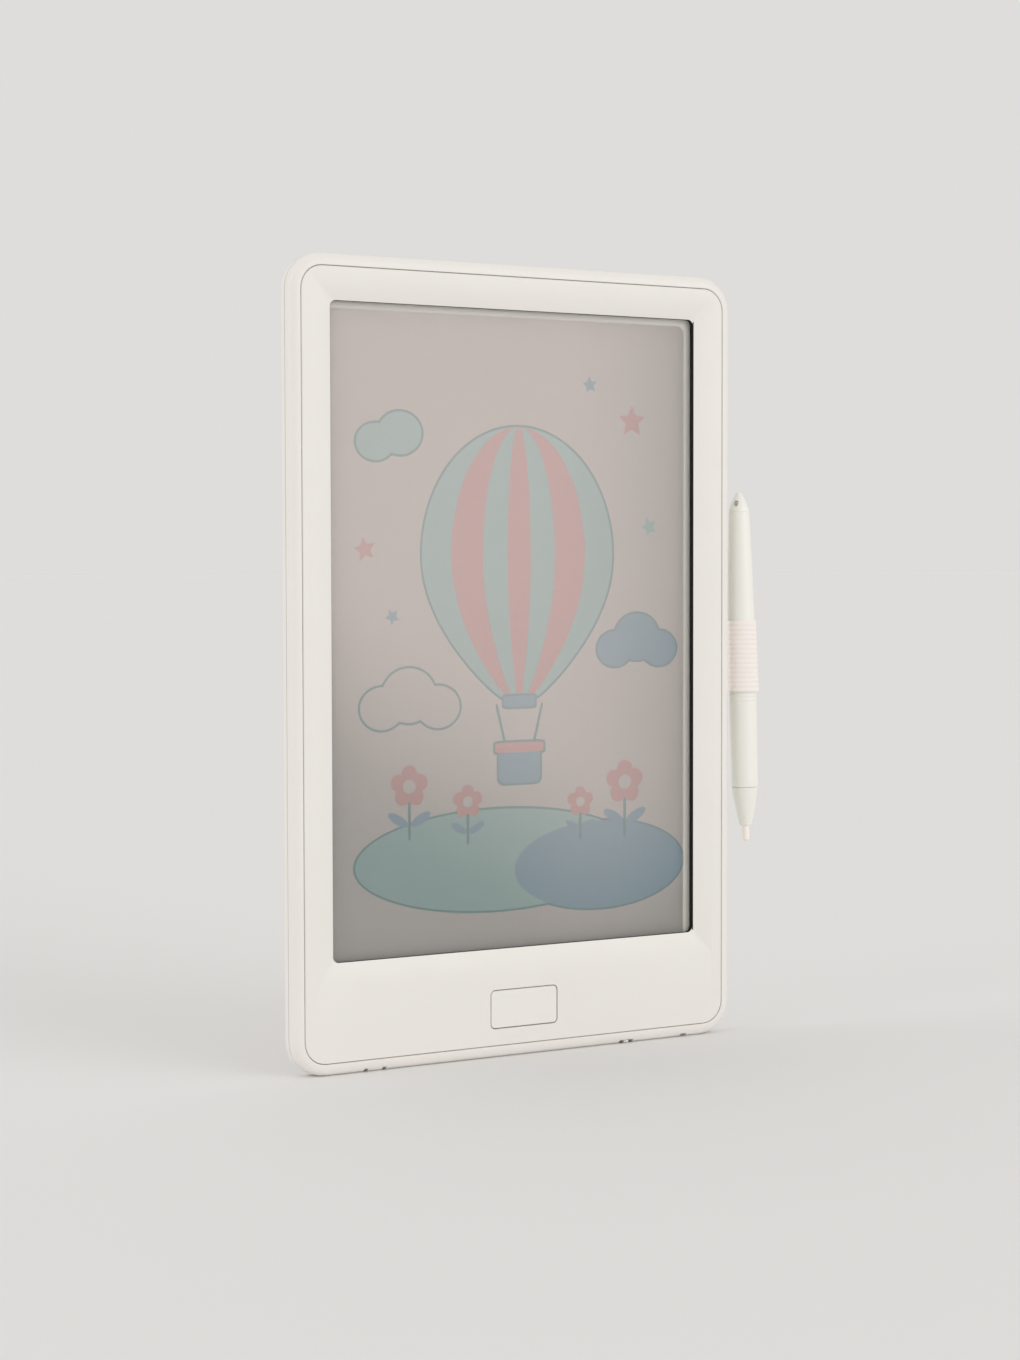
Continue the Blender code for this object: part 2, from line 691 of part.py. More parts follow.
def flat_sheet(name, rect, front, back, material):
    """A plain sheet with round corners."""
    bm = bmesh.new()
    add_layers(bm, [(rect, front), (rect, back)])
    return make_object(name, bm, material)


def film_tail(material):
    """The flexible ribbon that runs from the film's lower edge down to its connector."""
    right = connector_centre_x() + TAIL_WIDTH / 2
    left = right - TAIL_WIDTH
    top = sheet_rect(FILM_MARGIN).bottom - RUN_GAP
    bottom = connector_top() + LAYER_GAP
    bm = bmesh.new()
    add_box(bm, left, right, FILM_BACK - TAIL_THICKNESS, FILM_BACK, bottom, top)
    return make_object("film_tail", bm, material)


# Erase button

def button_rect():
    """The outline of the erase button's cap."""
    return centred(BUTTON_OFFSET_X, BUTTON_Z, BUTTON_WIDTH, BUTTON_HEIGHT, BUTTON_RADIUS)


def erase_button(material):
    """The cap with its rounded edge, the flange behind the plate and the stem over the switch."""
    cap = button_rect()
    flange = inset(cap, -FLANGE_REACH)
    flange_back = BUTTON_SHOULDER + FLANGE_THICKNESS
    layers = []
    for step in range(ROUND_STEPS + 1):
        angle = step / ROUND_STEPS * math.pi / 2
        drawn_in = BUTTON_EDGE_ROUND * (1 - math.sin(angle))
        layers.append((inset(cap, drawn_in), BUTTON_EDGE_ROUND * (1 - math.cos(angle))))
    layers += [(cap, BUTTON_SHOULDER), (flange, BUTTON_SHOULDER), (flange, flange_back)]
    bm = bmesh.new()
    add_layers(bm, layers)
    button = make_object("erase_button", bm, material)

    stem = bmesh.new()
    front = flange_back - FLANGE_THICKNESS / 2
    add_rod(stem, BUTTON_OFFSET_X, BUTTON_Z, STEM_DIAMETER / 2, front, BUTTON_BACK)
    shape_with(button, "button_stem", "UNION", stem)
    return button


def tact_switch(material):
    """The switch under the erase button, with its plunger."""
    bm = bmesh.new()
    size = (SWITCH_SIDE, SWITCH_BODY_HEIGHT, SWITCH_SIDE)
    add_block(bm, BUTTON_OFFSET_X, BUTTON_Z, size, BOARD_FRONT - LAYER_GAP)
    switch = make_object("tact_switch", bm, material)
    plunger = bmesh.new()
    back = SWITCH_FRONT + SWITCH_BODY_HEIGHT / 2
    add_rod(plunger, BUTTON_OFFSET_X, BUTTON_Z, PLUNGER_DIAMETER / 2, PLUNGER_FRONT, back)
    shape_with(switch, "switch_plunger", "UNION", plunger)
    return switch


# Circuit board

def connector_centre_x():
    """The middle of the film connector."""
    return BOARD_LEFT + CONNECTOR_FROM_BOARD_END + CONNECTOR_SIZE[0] / 2


def connector_top():
    """The upper edge of the film connector, at the board's upper edge."""
    return BOARD_TOP - LAYER_GAP


def circuit_board(material):
    """The board behind the chin, with the holes for its two screws."""
    bm = bmesh.new()
    add_box(bm, BOARD_LEFT, BOARD_RIGHT, BOARD_FRONT, BOARD_BACK, BOARD_BOTTOM, BOARD_TOP)
    board = make_object("circuit_board", bm, material)
    cuts = bmesh.new()
    for x, z in board_screw_places():
        add_rod(cuts, x, z, SCREW_HOLE_RADIUS, BOARD_FRONT - OVERRUN, BOARD_BACK + OVERRUN)
    shape_with(board, "board_holes", "DIFFERENCE", cuts)
    return board


def board_parts(black, ceramic, ivory):
    """The chip, coil, capacitor and connector soldered to the board's front."""
    seat = BOARD_FRONT - LAYER_GAP
    chip = bmesh.new()
    add_block(chip, BUTTON_OFFSET_X + BOARD_RUN * CHIP_RUN_SHARE, CHIP_Z, CHIP_SIZE, seat)
    make_object("driver_chip", chip, black)
    coil = bmesh.new()
    coil_x = BUTTON_OFFSET_X + BOARD_RUN * INDUCTOR_RUN_SHARE
    add_rod(coil, coil_x, INDUCTOR_Z, INDUCTOR_DIAMETER / 2, seat - INDUCTOR_HEIGHT, seat)
    make_object("boost_inductor", coil, black)
    capacitor = bmesh.new()
    capacitor_x = BUTTON_OFFSET_X + BOARD_RUN * CAPACITOR_RUN_SHARE
    add_block(capacitor, capacitor_x, CAPACITOR_Z, CAPACITOR_SIZE, seat)
    make_object("storage_capacitor", capacitor, ceramic)
    connector = bmesh.new()
    z = connector_top() - CONNECTOR_SIZE[2] / 2
    add_block(connector, connector_centre_x(), z, CONNECTOR_SIZE, seat)
    make_object("film_connector", connector, ivory)


# Screws

def screw_mesh(name, length):
    """A pan head with a cross recess on a plain shaft, along local Z with the seat at zero."""
    shaft = SCREW_SHAFT_DIAMETER / 2
    head = SCREW_HEAD_DIAMETER / 2
    edge = SCREW_HEAD_THICKNESS / 2
    tip = shaft / 2
    profile = [
        (tip, -length),
        (shaft, -length + tip),
        (shaft, 0.0),
        (head, 0.0),
        (head, edge),
        (head - edge / 2, SCREW_HEAD_THICKNESS),
    ]
    bm = bmesh.new()
    add_turned(bm, profile, SCREW_SIDES)
    blank = bpy.data.objects.new(name + "_blank", make_mesh(name + "_blank", bm))
    bpy.context.scene.collection.objects.link(blank)
    cross = bmesh.new()
    half_long = CROSS_LENGTH / 2
    half_wide = CROSS_WIDTH / 2
    arm = [Vector((half_long, -half_wide)), Vector((half_long, half_wide)), Vector((half_wide, half_wide))]
    corners = []
    for quarter in range(4):
        turn = Matrix.Rotation(quarter * math.pi / 2, 2)
        corners += [turn @ corner for corner in arm]
    low = SCREW_HEAD_THICKNESS - CROSS_DEPTH
    high = SCREW_HEAD_THICKNESS + OVERRUN
    add_rings(cross, [[(x, y, height) for x, y in corners] for height in (low, high)])
    shape_with(blank, name + "_cross", "DIFFERENCE", cross)
    depsgraph = bpy.context.evaluated_depsgraph_get()
    mesh = bpy.data.meshes.new_from_object(blank.evaluated_get(depsgraph))
    for used in (blank.modifiers[0].object, blank):
        bpy.data.objects.remove(used)
    return mesh


def place_screws(prefix, mesh, places, depth, turn, material):
    """One screw for each place, sharing one mesh, with its seat at a depth."""
    mesh.materials.append(material)
    for number, (x, z) in enumerate(places, 1):
        screw = bpy.data.objects.new(f"{prefix}_{number}", mesh)
        bpy.context.scene.collection.objects.link(screw)
        screw.location = (x, at_depth(depth), z)
        screw.rotation_euler = (turn, 0.0, 0.0)


# Coin cell and its tray

def battery_tray(material):
    """The tray that carries the cell: an open ring over a floor, with a face in the bottom edge."""
    bm = bmesh.new()
    add_box(bm, TRAY_LEFT, TRAY_RIGHT, TRAY_FRONT, TRAY_BACK, OUTER.bottom, TRAY_TOP)
    tray = make_object("battery_tray", bm, material)
    cuts = bmesh.new()
    pocket = circle(TRAY_CENTRE_X, CELL_Z, CELL_HOLE_RADIUS, LOOP_STEPS)
    add_prism(cuts, pocket, TRAY_FRONT - OVERRUN, TRAY_BACK - TRAY_FLOOR)
    shape_with(tray, "tray_pocket", "DIFFERENCE", cuts)
    return tray


def coin_cell(material):
    """The cell: a wide can with a smaller cap that faces the front."""
    can = CELL_DIAMETER / 2
    cap = can - CELL_CAP_INSET
    step = CELL_FRONT + CELL_STEP
    bm = bmesh.new()
    rings = []
    for radius, depth in ((cap, CELL_FRONT), (cap, step), (can, step), (can, CELL_BACK)):
        points = circle(TRAY_CENTRE_X, CELL_Z, radius, LOOP_STEPS)
        rings.append([(x, at_depth(depth), z) for x, z in points])
    add_rings(bm, rings)
    return make_object("coin_cell", bm, material)


def contact_negative(material):
    """A bent strip from the board, over the tray's side, across the front of the cell."""
    foot_left = BOARD_RIGHT - CONTACT_FOOT
    riser = BOARD_RIGHT - CONTACT_THICKNESS
    arm_back = TRAY_FRONT - RUN_GAP
    arm_front = arm_back - CONTACT_THICKNESS
    foot_back = BOARD_FRONT - LAYER_GAP
    foot_front = foot_back - CONTACT_THICKNESS
    section = [
        (foot_left, foot_back),
        (BOARD_RIGHT, foot_back),
        (BOARD_RIGHT, arm_back),
        (BOARD_RIGHT + CONTACT_REACH, arm_back),
        (BOARD_RIGHT + CONTACT_REACH, arm_front),
        (riser, arm_front),
        (riser, foot_front),
        (foot_left, foot_front),
    ]
    bm = bmesh.new()
    heights = (CONTACT_BOTTOM, CONTACT_BOTTOM + CONTACT_WIDTH)
    add_rings(bm, [[(x, at_depth(depth), z) for x, depth in section] for z in heights])
    return make_object("contact_negative", bm, material)


def contact_positive(material):
    """A leaf from the board that lies over the tray's inner end, against the cell's rim."""
    left = BOARD_RIGHT - CONTACT_FOOT
    foot_back = BOARD_FRONT - LAYER_GAP
    foot_front = foot_back - CONTACT_THICKNESS
    bottom = TRAY_TOP + RUN_GAP
    bm = bmesh.new()
    front = foot_back - LEAF_DEPTH
    add_box(bm, left, BOARD_RIGHT + CONTACT_REACH, front, foot_back, bottom, bottom + CONTACT_THICKNESS)
    leaf = make_object("contact_positive", bm, material)
    foot = bmesh.new()
    right = BOARD_RIGHT - CONTACT_THICKNESS
    add_box(foot, left, right, foot_front, foot_back, bottom, bottom + LEAF_FOOT_HEIGHT)
    shape_with(leaf, "contact_foot", "UNION", foot)
    return leaf


# Lock slider

def lock_slider(material):
    """The nub in the bottom edge, its plate inside the wall and the fork round the switch lever."""
    bm = bmesh.new()
    left = LOCK_X - NUB_WIDTH / 2
    right = LOCK_X + NUB_WIDTH / 2
    plate_back = SLIDER_FRONT + SLIDER_THICKNESS
    section = [
        (NUB_FRONT_DEPTH, NUB_RECESS + NUB_EDGE),
        (NUB_FRONT_DEPTH + NUB_EDGE, NUB_RECESS),
        (plate_back, NUB_RECESS),
        (plate_back, SLIDER_TOP - SLIDER_HEIGHT / 2),
        (SLIDER_FRONT, SLIDER_TOP - SLIDER_HEIGHT / 2),
        (SLIDER_FRONT, CASE_WALL - NUB_TOP_SETBACK),
        (NOTCH_STEP_DEPTH + RUN_GAP, CASE_WALL - NUB_TOP_SETBACK),
        (NOTCH_STEP_DEPTH + RUN_GAP, NOTCH_HEIGHT - NUB_TOP_GAP),
        (NUB_FRONT_DEPTH, NOTCH_HEIGHT - NUB_TOP_GAP),
    ]
    add_rings(bm, [[(x, at_depth(depth), z) for depth, z in section] for x in (left, right)])
    slider = make_object("lock_slider", bm, material)

    plate = bmesh.new()
    fork_inner = LEVER_WIDTH / 2 + LAYER_GAP
    fork_top = SLIDER_TOP + FORK_HEIGHT
    points = [
        (LOCK_X - SLIDER_HALF_WIDTH, SLIDER_BOTTOM),
        (LOCK_X + SLIDER_HALF_WIDTH, SLIDER_BOTTOM),
        (LOCK_X + SLIDER_HALF_WIDTH, fork_top),
        (LOCK_X + fork_inner, fork_top),
        (LOCK_X + fork_inner, SLIDER_TOP),
        (LOCK_X - fork_inner, SLIDER_TOP),
        (LOCK_X - fork_inner, fork_top),
        (LOCK_X - SLIDER_HALF_WIDTH, fork_top),
    ]
    add_prism(plate, points, SLIDER_FRONT, plate_back)
    shape_with(slider, "slider_plate", "UNION", plate)
    return slider


def switch_lever(material):
    """The slide switch's lever, held in the slider's fork."""
    half = LEVER_WIDTH / 2
    bm = bmesh.new()
    back = LEVER_FRONT + LEVER_THICKNESS
    add_box(bm, LOCK_X - half, LOCK_X + half, LEVER_FRONT, back, LEVER_BOTTOM, LEVER_TOP)
    return make_object("switch_lever", bm, material)


def slide_switch(material):
    """The slide switch's body, on the board's front above its lever."""
    bm = bmesh.new()
    z = LEVER_TOP + RUN_GAP + SLIDE_SWITCH_SIZE[2] / 2
    add_block(bm, LOCK_X, z, SLIDE_SWITCH_SIZE, BOARD_FRONT - LAYER_GAP)
    return make_object("slide_switch", bm, material)


# Elastic loop

def lean_shift(z):
    """How far the stylus axis lies right of the loop's middle at a height."""
    return (LOOP_CENTRE_Z - z) * math.tan(math.radians(STYLUS_LEAN_DEGREES))


def elastic_loop(material, axis):
    """The elastic band round the stylus, whose two layers run together into the case."""
    half = ELASTIC_THICKNESS
    meet = math.asin(half / LOOP_RADIUS)
    arc = []
    for step in range(LOOP_STEPS + 1):
        angle = -math.pi + meet + step / LOOP_STEPS * (math.tau - 2 * meet)
        arc.append((LOOP_RADIUS * math.cos(angle), LOOP_RADIUS * math.sin(angle)))
    rings = []
    for z in (LOOP_BOTTOM, LOOP_TOP):
        shift = lean_shift(z)
        ring = [(LOOP_X + shift + x, at_depth(SEAM_MIDDLE) + y, z) for x, y in arc]
        ring.append((TAIL_END_X, at_depth(SEAM_MIDDLE) + half, z))
        ring.append((TAIL_END_X, at_depth(SEAM_MIDDLE) - half, z))
        rings.append(ring)
    bm = bmesh.new()
    add_rings(bm, rings)
    loop = make_object("elastic_loop", bm, material)

    bore = bmesh.new()
    reach = LOOP_HEIGHT / 2 + OVERRUN
    add_turned(bore, [(BORE_RADIUS, -reach), (BORE_RADIUS, reach)], LOOP_STEPS)
    bmesh.ops.transform(bore, matrix=axis.matrix_world, verts=bore.verts)
    shape_with(loop, "loop_bore", "DIFFERENCE", bore)
    return loop


def loop_anchor(material):
    """The bar inside the case that the elastic's ends are sewn to, too thick for the slot."""
    right = TAIL_END_X - RUN_GAP
    half = ANCHOR_THICKNESS / 2
    bm = bmesh.new()
    add_box(bm, right - ANCHOR_WIDTH, right, SEAM_MIDDLE - half, SEAM_MIDDLE + half,
            LOOP_BOTTOM - ANCHOR_OVERHANG, LOOP_TOP + ANCHOR_OVERHANG)
    return make_object("loop_anchor", bm, material)


# Stylus, built along an axis empty whose local Z runs up the barrel

def stylus_axis():
    """The empty on the stylus axis, at the middle of the loop."""
    axis = bpy.data.objects.new("stylus_axis", None)
    bpy.context.scene.collection.objects.link(axis)
    axis.matrix_world = (
        Matrix.Translation(Vector((LOOP_X, at_depth(SEAM_MIDDLE), LOOP_CENTRE_Z)))
        @ Matrix.Rotation(-math.radians(STYLUS_LEAN_DEGREES), 4, "Y")
    )
    bpy.context.view_layer.update()
    return axis


def barrel_profile(top, bottom):
    """The barrel's outer outline, from its seam with the cone up to the end plug's rounded tip."""
    profile = [(BARREL_SEAM_RADIUS, bottom)]
    first_ring = LOOP_BOTTOM - LOOP_CENTRE_Z - GRIP_BELOW_LOOP
    for number in reversed(range(GRIP_RING_COUNT)):
        middle = first_ring - number * GRIP_RING_PITCH
        profile.append((STYLUS_RADIUS, middle - GRIP_RING_WIDTH))
        profile.append((STYLUS_RADIUS - GRIP_RING_DEPTH, middle - GRIP_RING_WIDTH / 2))
        profile.append((STYLUS_RADIUS - GRIP_RING_DEPTH, middle + GRIP_RING_WIDTH / 2))
        profile.append((STYLUS_RADIUS, middle + GRIP_RING_WIDTH))
    taper_bottom = first_ring + GRIP_RING_WIDTH + SHARP_RADIUS
    plug_bottom = top - PLUG_HEIGHT
    taper_top = plug_bottom - PLUG_LINE_WIDTH
    for step in range(TAPER_STEPS + 1):
        share = step / TAPER_STEPS
        radius = STYLUS_RADIUS - (STYLUS_RADIUS - PLUG_RADIUS) * share ** BARREL_TAPER_EXPONENT
        profile.append((radius, taper_bottom + (taper_top - taper_bottom) * share))
    profile.append((PLUG_RADIUS - PLUG_LINE_DEPTH, taper_top))
    profile.append((PLUG_RADIUS - PLUG_LINE_DEPTH, plug_bottom))
    plug_top = top - PLUG_TIP_ROUND
    for step in range(TAPER_STEPS + 1):
        share = step / TAPER_STEPS
        radius = PLUG_RADIUS - (PLUG_RADIUS - PLUG_END_RADIUS) * share ** PLUG_TAPER_EXPONENT
        profile.append((radius, plug_bottom + (plug_top - plug_bottom) * share))
    for step in range(1, ROUND_STEPS):
        angle = step / ROUND_STEPS * math.pi / 2
        height = plug_top + PLUG_TIP_ROUND * math.sin(angle)
        profile.append((PLUG_END_RADIUS * math.cos(angle), height))
    return profile


def stylus_barrel(material, axis):
    """The hollow barrel, with grip rings, a tapered top and an end plug with a lanyard hole across it."""
    top = STYLUS_TOP_ABOVE_LOOP
    bottom = top - BARREL_LENGTH
    bm = bmesh.new()
    add_turned(bm, barrel_profile(top, bottom), BARREL_SIDES)
    barrel = make_object("stylus_barrel", bm, material, axis)

    cuts = bmesh.new()
    bore_top = bottom + BARREL_BORE_LENGTH
    add_turned(cuts, [(BARREL_BORE_RADIUS, bottom - OVERRUN), (BARREL_BORE_RADIUS, bore_top)], SCREW_SIDES)
    hole = bmesh.new()
    reach = STYLUS_RADIUS + OVERRUN
    radius = LANYARD_HOLE_DIAMETER / 2
    add_turned(hole, [(radius, -reach), (radius, reach)], SCREW_SIDES)
    turn = Matrix.Rotation(math.radians(LANYARD_HOLE_TURN_DEGREES), 4, "Z")
    tilt = Matrix.Rotation(math.pi / 2, 4, "X")
    lift = Matrix.Translation(Vector((0.0, 0.0, top - LANYARD_HOLE_FROM_TOP)))
    bmesh.ops.transform(hole, matrix=lift @ turn @ tilt, verts=hole.verts)
    shape_with(barrel, "barrel_bore", "DIFFERENCE", cuts)
    shape_with(barrel, "lanyard_hole", "DIFFERENCE", hole)
    return barrel


def stylus_cone(material, axis):
    """The tapered front section, with a spigot up into the barrel and a bore for the nib."""
    shoulder = STYLUS_TOP_ABOVE_LOOP - BARREL_LENGTH - LAYER_GAP
    tip = shoulder - CONE_LENGTH
    spigot_radius = BARREL_BORE_RADIUS - SPIGOT_GAP
    profile = []
    for step in range(TAPER_STEPS + 1):
        share = step / TAPER_STEPS
        straight = CONE_TIP_RADIUS + (CONE_SHOULDER_RADIUS - CONE_TIP_RADIUS) * share
        profile.append((straight + CONE_SWELL * math.sin(math.pi * share), tip + CONE_LENGTH * share))
    profile += [(spigot_radius, shoulder), (spigot_radius, shoulder + SPIGOT_LENGTH)]
    bm = bmesh.new()
    add_turned(bm, profile, BARREL_SIDES)
    cone = make_object("stylus_cone", bm, material, axis)

    bore = bmesh.new()
    radius = NIB_RADIUS + LAYER_GAP
    top = tip - NIB_SHOWN + NIB_LENGTH + RUN_GAP
    add_turned(bore, [(radius, tip - OVERRUN), (radius, top)], SCREW_SIDES)
    shape_with(cone, "cone_bore", "DIFFERENCE", bore)
    return cone


def stylus_nib(material, axis):
    """The writing point, a rod with a rounded end."""
    cone_tip = STYLUS_TOP_ABOVE_LOOP - BARREL_LENGTH - LAYER_GAP - CONE_LENGTH
    end = cone_tip - NIB_SHOWN
    profile = []
    for step in range(1, ROUND_STEPS + 1):
        angle = step / ROUND_STEPS * math.pi / 2
        radius = NIB_RADIUS - NIB_END_ROUND * (1 - math.sin(angle))
        profile.append((radius, end + NIB_END_ROUND * (1 - math.cos(angle))))
    profile.append((NIB_RADIUS, end + NIB_LENGTH))
    bm = bmesh.new()
    add_turned(bm, profile, SCREW_SIDES)
    return make_object("stylus_nib", bm, material, axis)


def clear_scene():
    """Removes what a new file starts with."""
    for obj in list(bpy.data.objects):
        bpy.data.objects.remove(obj)


def main():
    """Builds all the pieces."""
    clear_scene()
    cream = make_material("cream_plastic", (0.80, 0.77, 0.71), 0.42)
    button_cream = make_material("button_plastic", (0.82, 0.80, 0.74), 0.40)
    black_foam = make_material("black_foam", (0.02, 0.02, 0.02), 0.90)
    film_grey = make_material("film_grey", (0.42, 0.39, 0.36), 0.25)
    clear_grey = make_material("clear_sheet", (0.60, 0.60, 0.58), 0.15)
    card_white = make_material("card_paper", (0.75, 0.72, 0.68), 0.75)
    amber = make_material("flex_amber", (0.50, 0.25, 0.06), 0.40)
    board_green = make_material("board_green", (0.03, 0.18, 0.08), 0.45)
    black = make_material("black_plastic", (0.03, 0.03, 0.03), 0.50)
    ceramic = make_material("ceramic_tan", (0.45, 0.33, 0.22), 0.50)
    steel = make_material("steel", (0.60, 0.60, 0.60), 0.30, 1.0)
    elastic = make_material("elastic_fabric", (0.78, 0.73, 0.67), 0.90)

    case_frame(cream)
    front_plate(cream)
    rear_cover(cream)
    screen_gasket(black_foam)
    flat_sheet("lcd_film", sheet_rect(FILM_MARGIN), FILM_FRONT, FILM_BACK, film_grey)
    flat_sheet("clear_sheet", sheet_rect(SHEET_MARGIN), SHEET_FRONT, SHEET_BACK, clear_grey)
    flat_sheet("picture_card", card_rect(), CARD_FRONT, CARD_BACK, card_white)
    film_tail(amber)
    erase_button(button_cream)
    tact_switch(black)
    circuit_board(board_green)
    board_parts(black, ceramic, card_white)
    battery_tray(cream)
    coin_cell(steel)
    contact_negative(steel)
    contact_positive(steel)
    lock_slider(cream)
    switch_lever(black)
    slide_switch(steel)
    case_screw = screw_mesh("case_screw_mesh", SCREW_LENGTH)
    seat = SCREW_SEAT + LAYER_GAP
    place_screws("case_screw", case_screw, screw_places(), seat, -math.pi / 2, steel)
    board_screw = screw_mesh("board_screw_mesh", BOARD_SCREW_LENGTH)
    seat = BOARD_FRONT - LAYER_GAP
    place_screws("board_screw", board_screw, board_screw_places(), seat, math.pi / 2, steel)
    axis = stylus_axis()
    elastic_loop(elastic, axis)
    loop_anchor(black)
    stylus_barrel(cream, axis)
    stylus_cone(cream, axis)
    stylus_nib(black, axis)


if __name__ == "__main__":
    main()
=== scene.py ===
"""Looks for a 10 inch LCD writing tablet in a cream case, with a stylus in an elastic loop at its right side.

Metres, +Z up. The screen faces -Y and the tablet stands on its bottom edge, on a plain pale floor.
"""

import json
import math

import bmesh
import bpy
from bpy.props import FloatProperty, FloatVectorProperty, IntProperty, PointerProperty
from mathutils import Matrix, Vector


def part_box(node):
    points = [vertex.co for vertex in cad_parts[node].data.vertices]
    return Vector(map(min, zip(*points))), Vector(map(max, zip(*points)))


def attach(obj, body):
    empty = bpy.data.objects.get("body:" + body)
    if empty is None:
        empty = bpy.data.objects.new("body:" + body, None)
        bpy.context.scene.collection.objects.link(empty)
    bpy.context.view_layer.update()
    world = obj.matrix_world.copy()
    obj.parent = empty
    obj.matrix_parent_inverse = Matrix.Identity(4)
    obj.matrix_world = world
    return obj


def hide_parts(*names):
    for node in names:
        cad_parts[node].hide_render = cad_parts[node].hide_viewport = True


bl_info = {
    "name": "Writing tablet looks",
    "version": (1, 0, 0),
    "blender": (4, 5, 0),
    "location": "3D View > Sidebar > Tablet",
    "description": "Dresses the packed writing tablet with its materials, stylus, elastic, card and studio",
    "category": "Object",
}

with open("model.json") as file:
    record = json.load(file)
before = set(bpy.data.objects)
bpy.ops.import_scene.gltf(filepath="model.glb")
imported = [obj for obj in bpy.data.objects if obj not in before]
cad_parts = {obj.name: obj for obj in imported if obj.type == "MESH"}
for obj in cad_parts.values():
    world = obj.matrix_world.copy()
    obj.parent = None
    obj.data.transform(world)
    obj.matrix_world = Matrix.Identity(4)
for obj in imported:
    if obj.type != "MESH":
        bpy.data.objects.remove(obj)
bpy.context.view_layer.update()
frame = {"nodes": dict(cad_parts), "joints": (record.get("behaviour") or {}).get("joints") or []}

MM = 0.001
WELD = 1e-7
FLAT_ANGLE = math.radians(0.2)
CRISP_ANGLE = math.radians(35.0)
SHARP_ANGLE = math.radians(50.0)

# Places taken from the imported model
CASE_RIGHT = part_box("case_frame")[1].x
PLATE_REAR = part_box("front_plate")[1].y
CARD_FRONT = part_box("picture_card")[0].y
LOOP_LOW, LOOP_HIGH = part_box("elastic_loop")
LOOP_MIDDLE = (LOOP_LOW + LOOP_HIGH) / 2
LOOP_WIDTH = LOOP_HIGH.z - LOOP_LOW.z
STYLUS_UP = Vector(next(joint for joint in frame["joints"] if joint["name"] == "stylus_pull")["axis"])

STYLUS_FROM_CASE = 8.0 * MM
STYLUS_MIDDLE = Vector((CASE_RIGHT + STYLUS_FROM_CASE, LOOP_MIDDLE.y, LOOP_MIDDLE.z))
STYLUS_TURN = Vector((0, 0, 1)).rotation_difference(STYLUS_UP).to_matrix().to_4x4()
STYLUS_PLACE = Matrix.Translation(STYLUS_MIDDLE) @ STYLUS_TURN


def linear(colour):
    """An sRGB hex colour as linear red, green, blue and alpha."""
    channels = [int(colour[start:start + 2], 16) / 255 for start in (1, 3, 5)]
    return tuple(c / 12.92 if c <= 0.04045 else ((c + 0.055) / 1.055) ** 2.4 for c in channels) + (1.0,)


def colour_choice(name, description, colour):
    """A colour that a user may change."""
    return FloatVectorProperty(
        name=name, description=description, subtype="COLOR", size=4, min=0.0, max=1.0, default=linear(colour))


def length_choice(name, description, millimetres):
    """A length that a user may change."""
    return FloatProperty(
        name=name, description=description, subtype="DISTANCE", unit="LENGTH", precision=5,
        default=millimetres * MM)


class TabletCaseChoices(bpy.types.PropertyGroup):
    """Colours and edge sizes of the moulded case."""

    shell: colour_choice("Shell", "Cream plastic of the rim and the back", "#EEEAE5")
    plate: colour_choice("Plate", "Cream plastic of the front plate", "#ECE9E3")
    button: colour_choice("Keys", "Plastic of the erase key and the lock slider", "#EEEAE6")
    fillet: length_choice("Edge radius", "Radius that the mould leaves on sharp edges", 0.06)


class TabletScreenChoices(bpy.types.PropertyGroup):
    """Colours of the writing film and of the card behind it."""

    film_top: colour_choice("Film, upper part", "Milky grey of the film's upper part", "#DACCC9")
    # Painted reflection and shade: the darker grey that the film deepens to lower down and towards the right
    film_low_painted_shade: colour_choice("Film, lower part", "Darker grey of the film's lower part", "#757270")
    film_rim: colour_choice("Film rim", "Clear rim of the film outside its active area", "#FFFCF4")
    film_cover: FloatProperty(
        name="Film cover", description="How much of the card each face of the film hides",
        subtype="FACTOR", min=0.0, max=1.0, default=0.26)
    active_right: length_choice("Active width", "Right edge of the active area, from the middle", 67.3)
    active_top: length_choice("Active height", "Upper edge of the active area, above the floor", 247.3)
    active_radius: length_choice("Active corner", "Corner radius of the active area", 3.0)
    card: colour_choice("Card", "Bare stock of the picture card", "#F3EEE8")
    teal: colour_choice("Teal ink", "Main ink of the card's picture", "#B5E6E2")
    pink: colour_choice("Pink ink", "Second ink of the card's picture", "#F6B9B6")
    blue: colour_choice("Blue ink", "Third ink of the card's picture", "#8FC6DC")
    line: colour_choice("Line ink", "Ink of the outlines", "#6FB4B6")


class TabletStylusChoices(bpy.types.PropertyGroup):
    """Sizes and colours of the stylus."""

    plastic: colour_choice("Stylus", "Plastic of the barrel and the cone", "#F3F2EA")
    point: colour_choice("Point", "Acetal of the writing point", "#FDF5ED")
    sides: IntProperty(name="Sides", description="Steps round the stylus", min=16, max=256, default=96)
    hole_rim: length_choice("Hole edge", "Radius on the edge of the lanyard hole", 0.12)


class TabletElasticChoices(bpy.types.PropertyGroup):
    """Sizes and colours of the ribbed elastic."""

    yarn: colour_choice("Yarn", "Raised yarn of the elastic", "#FBF4EE")
    valley: colour_choice("Valley", "Shaded yarn between the ribs", "#F6EEE6")
    ribs: IntProperty(name="Ribs", description="Ribs across the elastic's width", min=3, max=60, default=15)
    relief: length_choice("Rib height", "How far a rib stands above the valley beside it", 0.14)
    thread: length_choice("Thread", "Spacing of the threads along a rib", 0.62)


class TabletStageChoices(bpy.types.PropertyGroup):
    """The floor, the light and the camera."""

    floor: colour_choice("Floor", "Pale floor", "#EDECEB")
    air: colour_choice("Surroundings", "Even light of the studio's walls", "#DEDDDB")
    key_strength: FloatProperty(name="Key", description="Strength of the front light", min=0.0, default=1.17)
    side_strength: FloatProperty(name="Side", description="Strength of the left light", min=0.0, default=0.9)
    lens: FloatProperty(name="Lens", description="Focal length in mm on a 36 mm sensor", min=1.0, default=67.77)


# Materials. First come the sockets of a Mix node of colours, and the range that noise mostly keeps to.

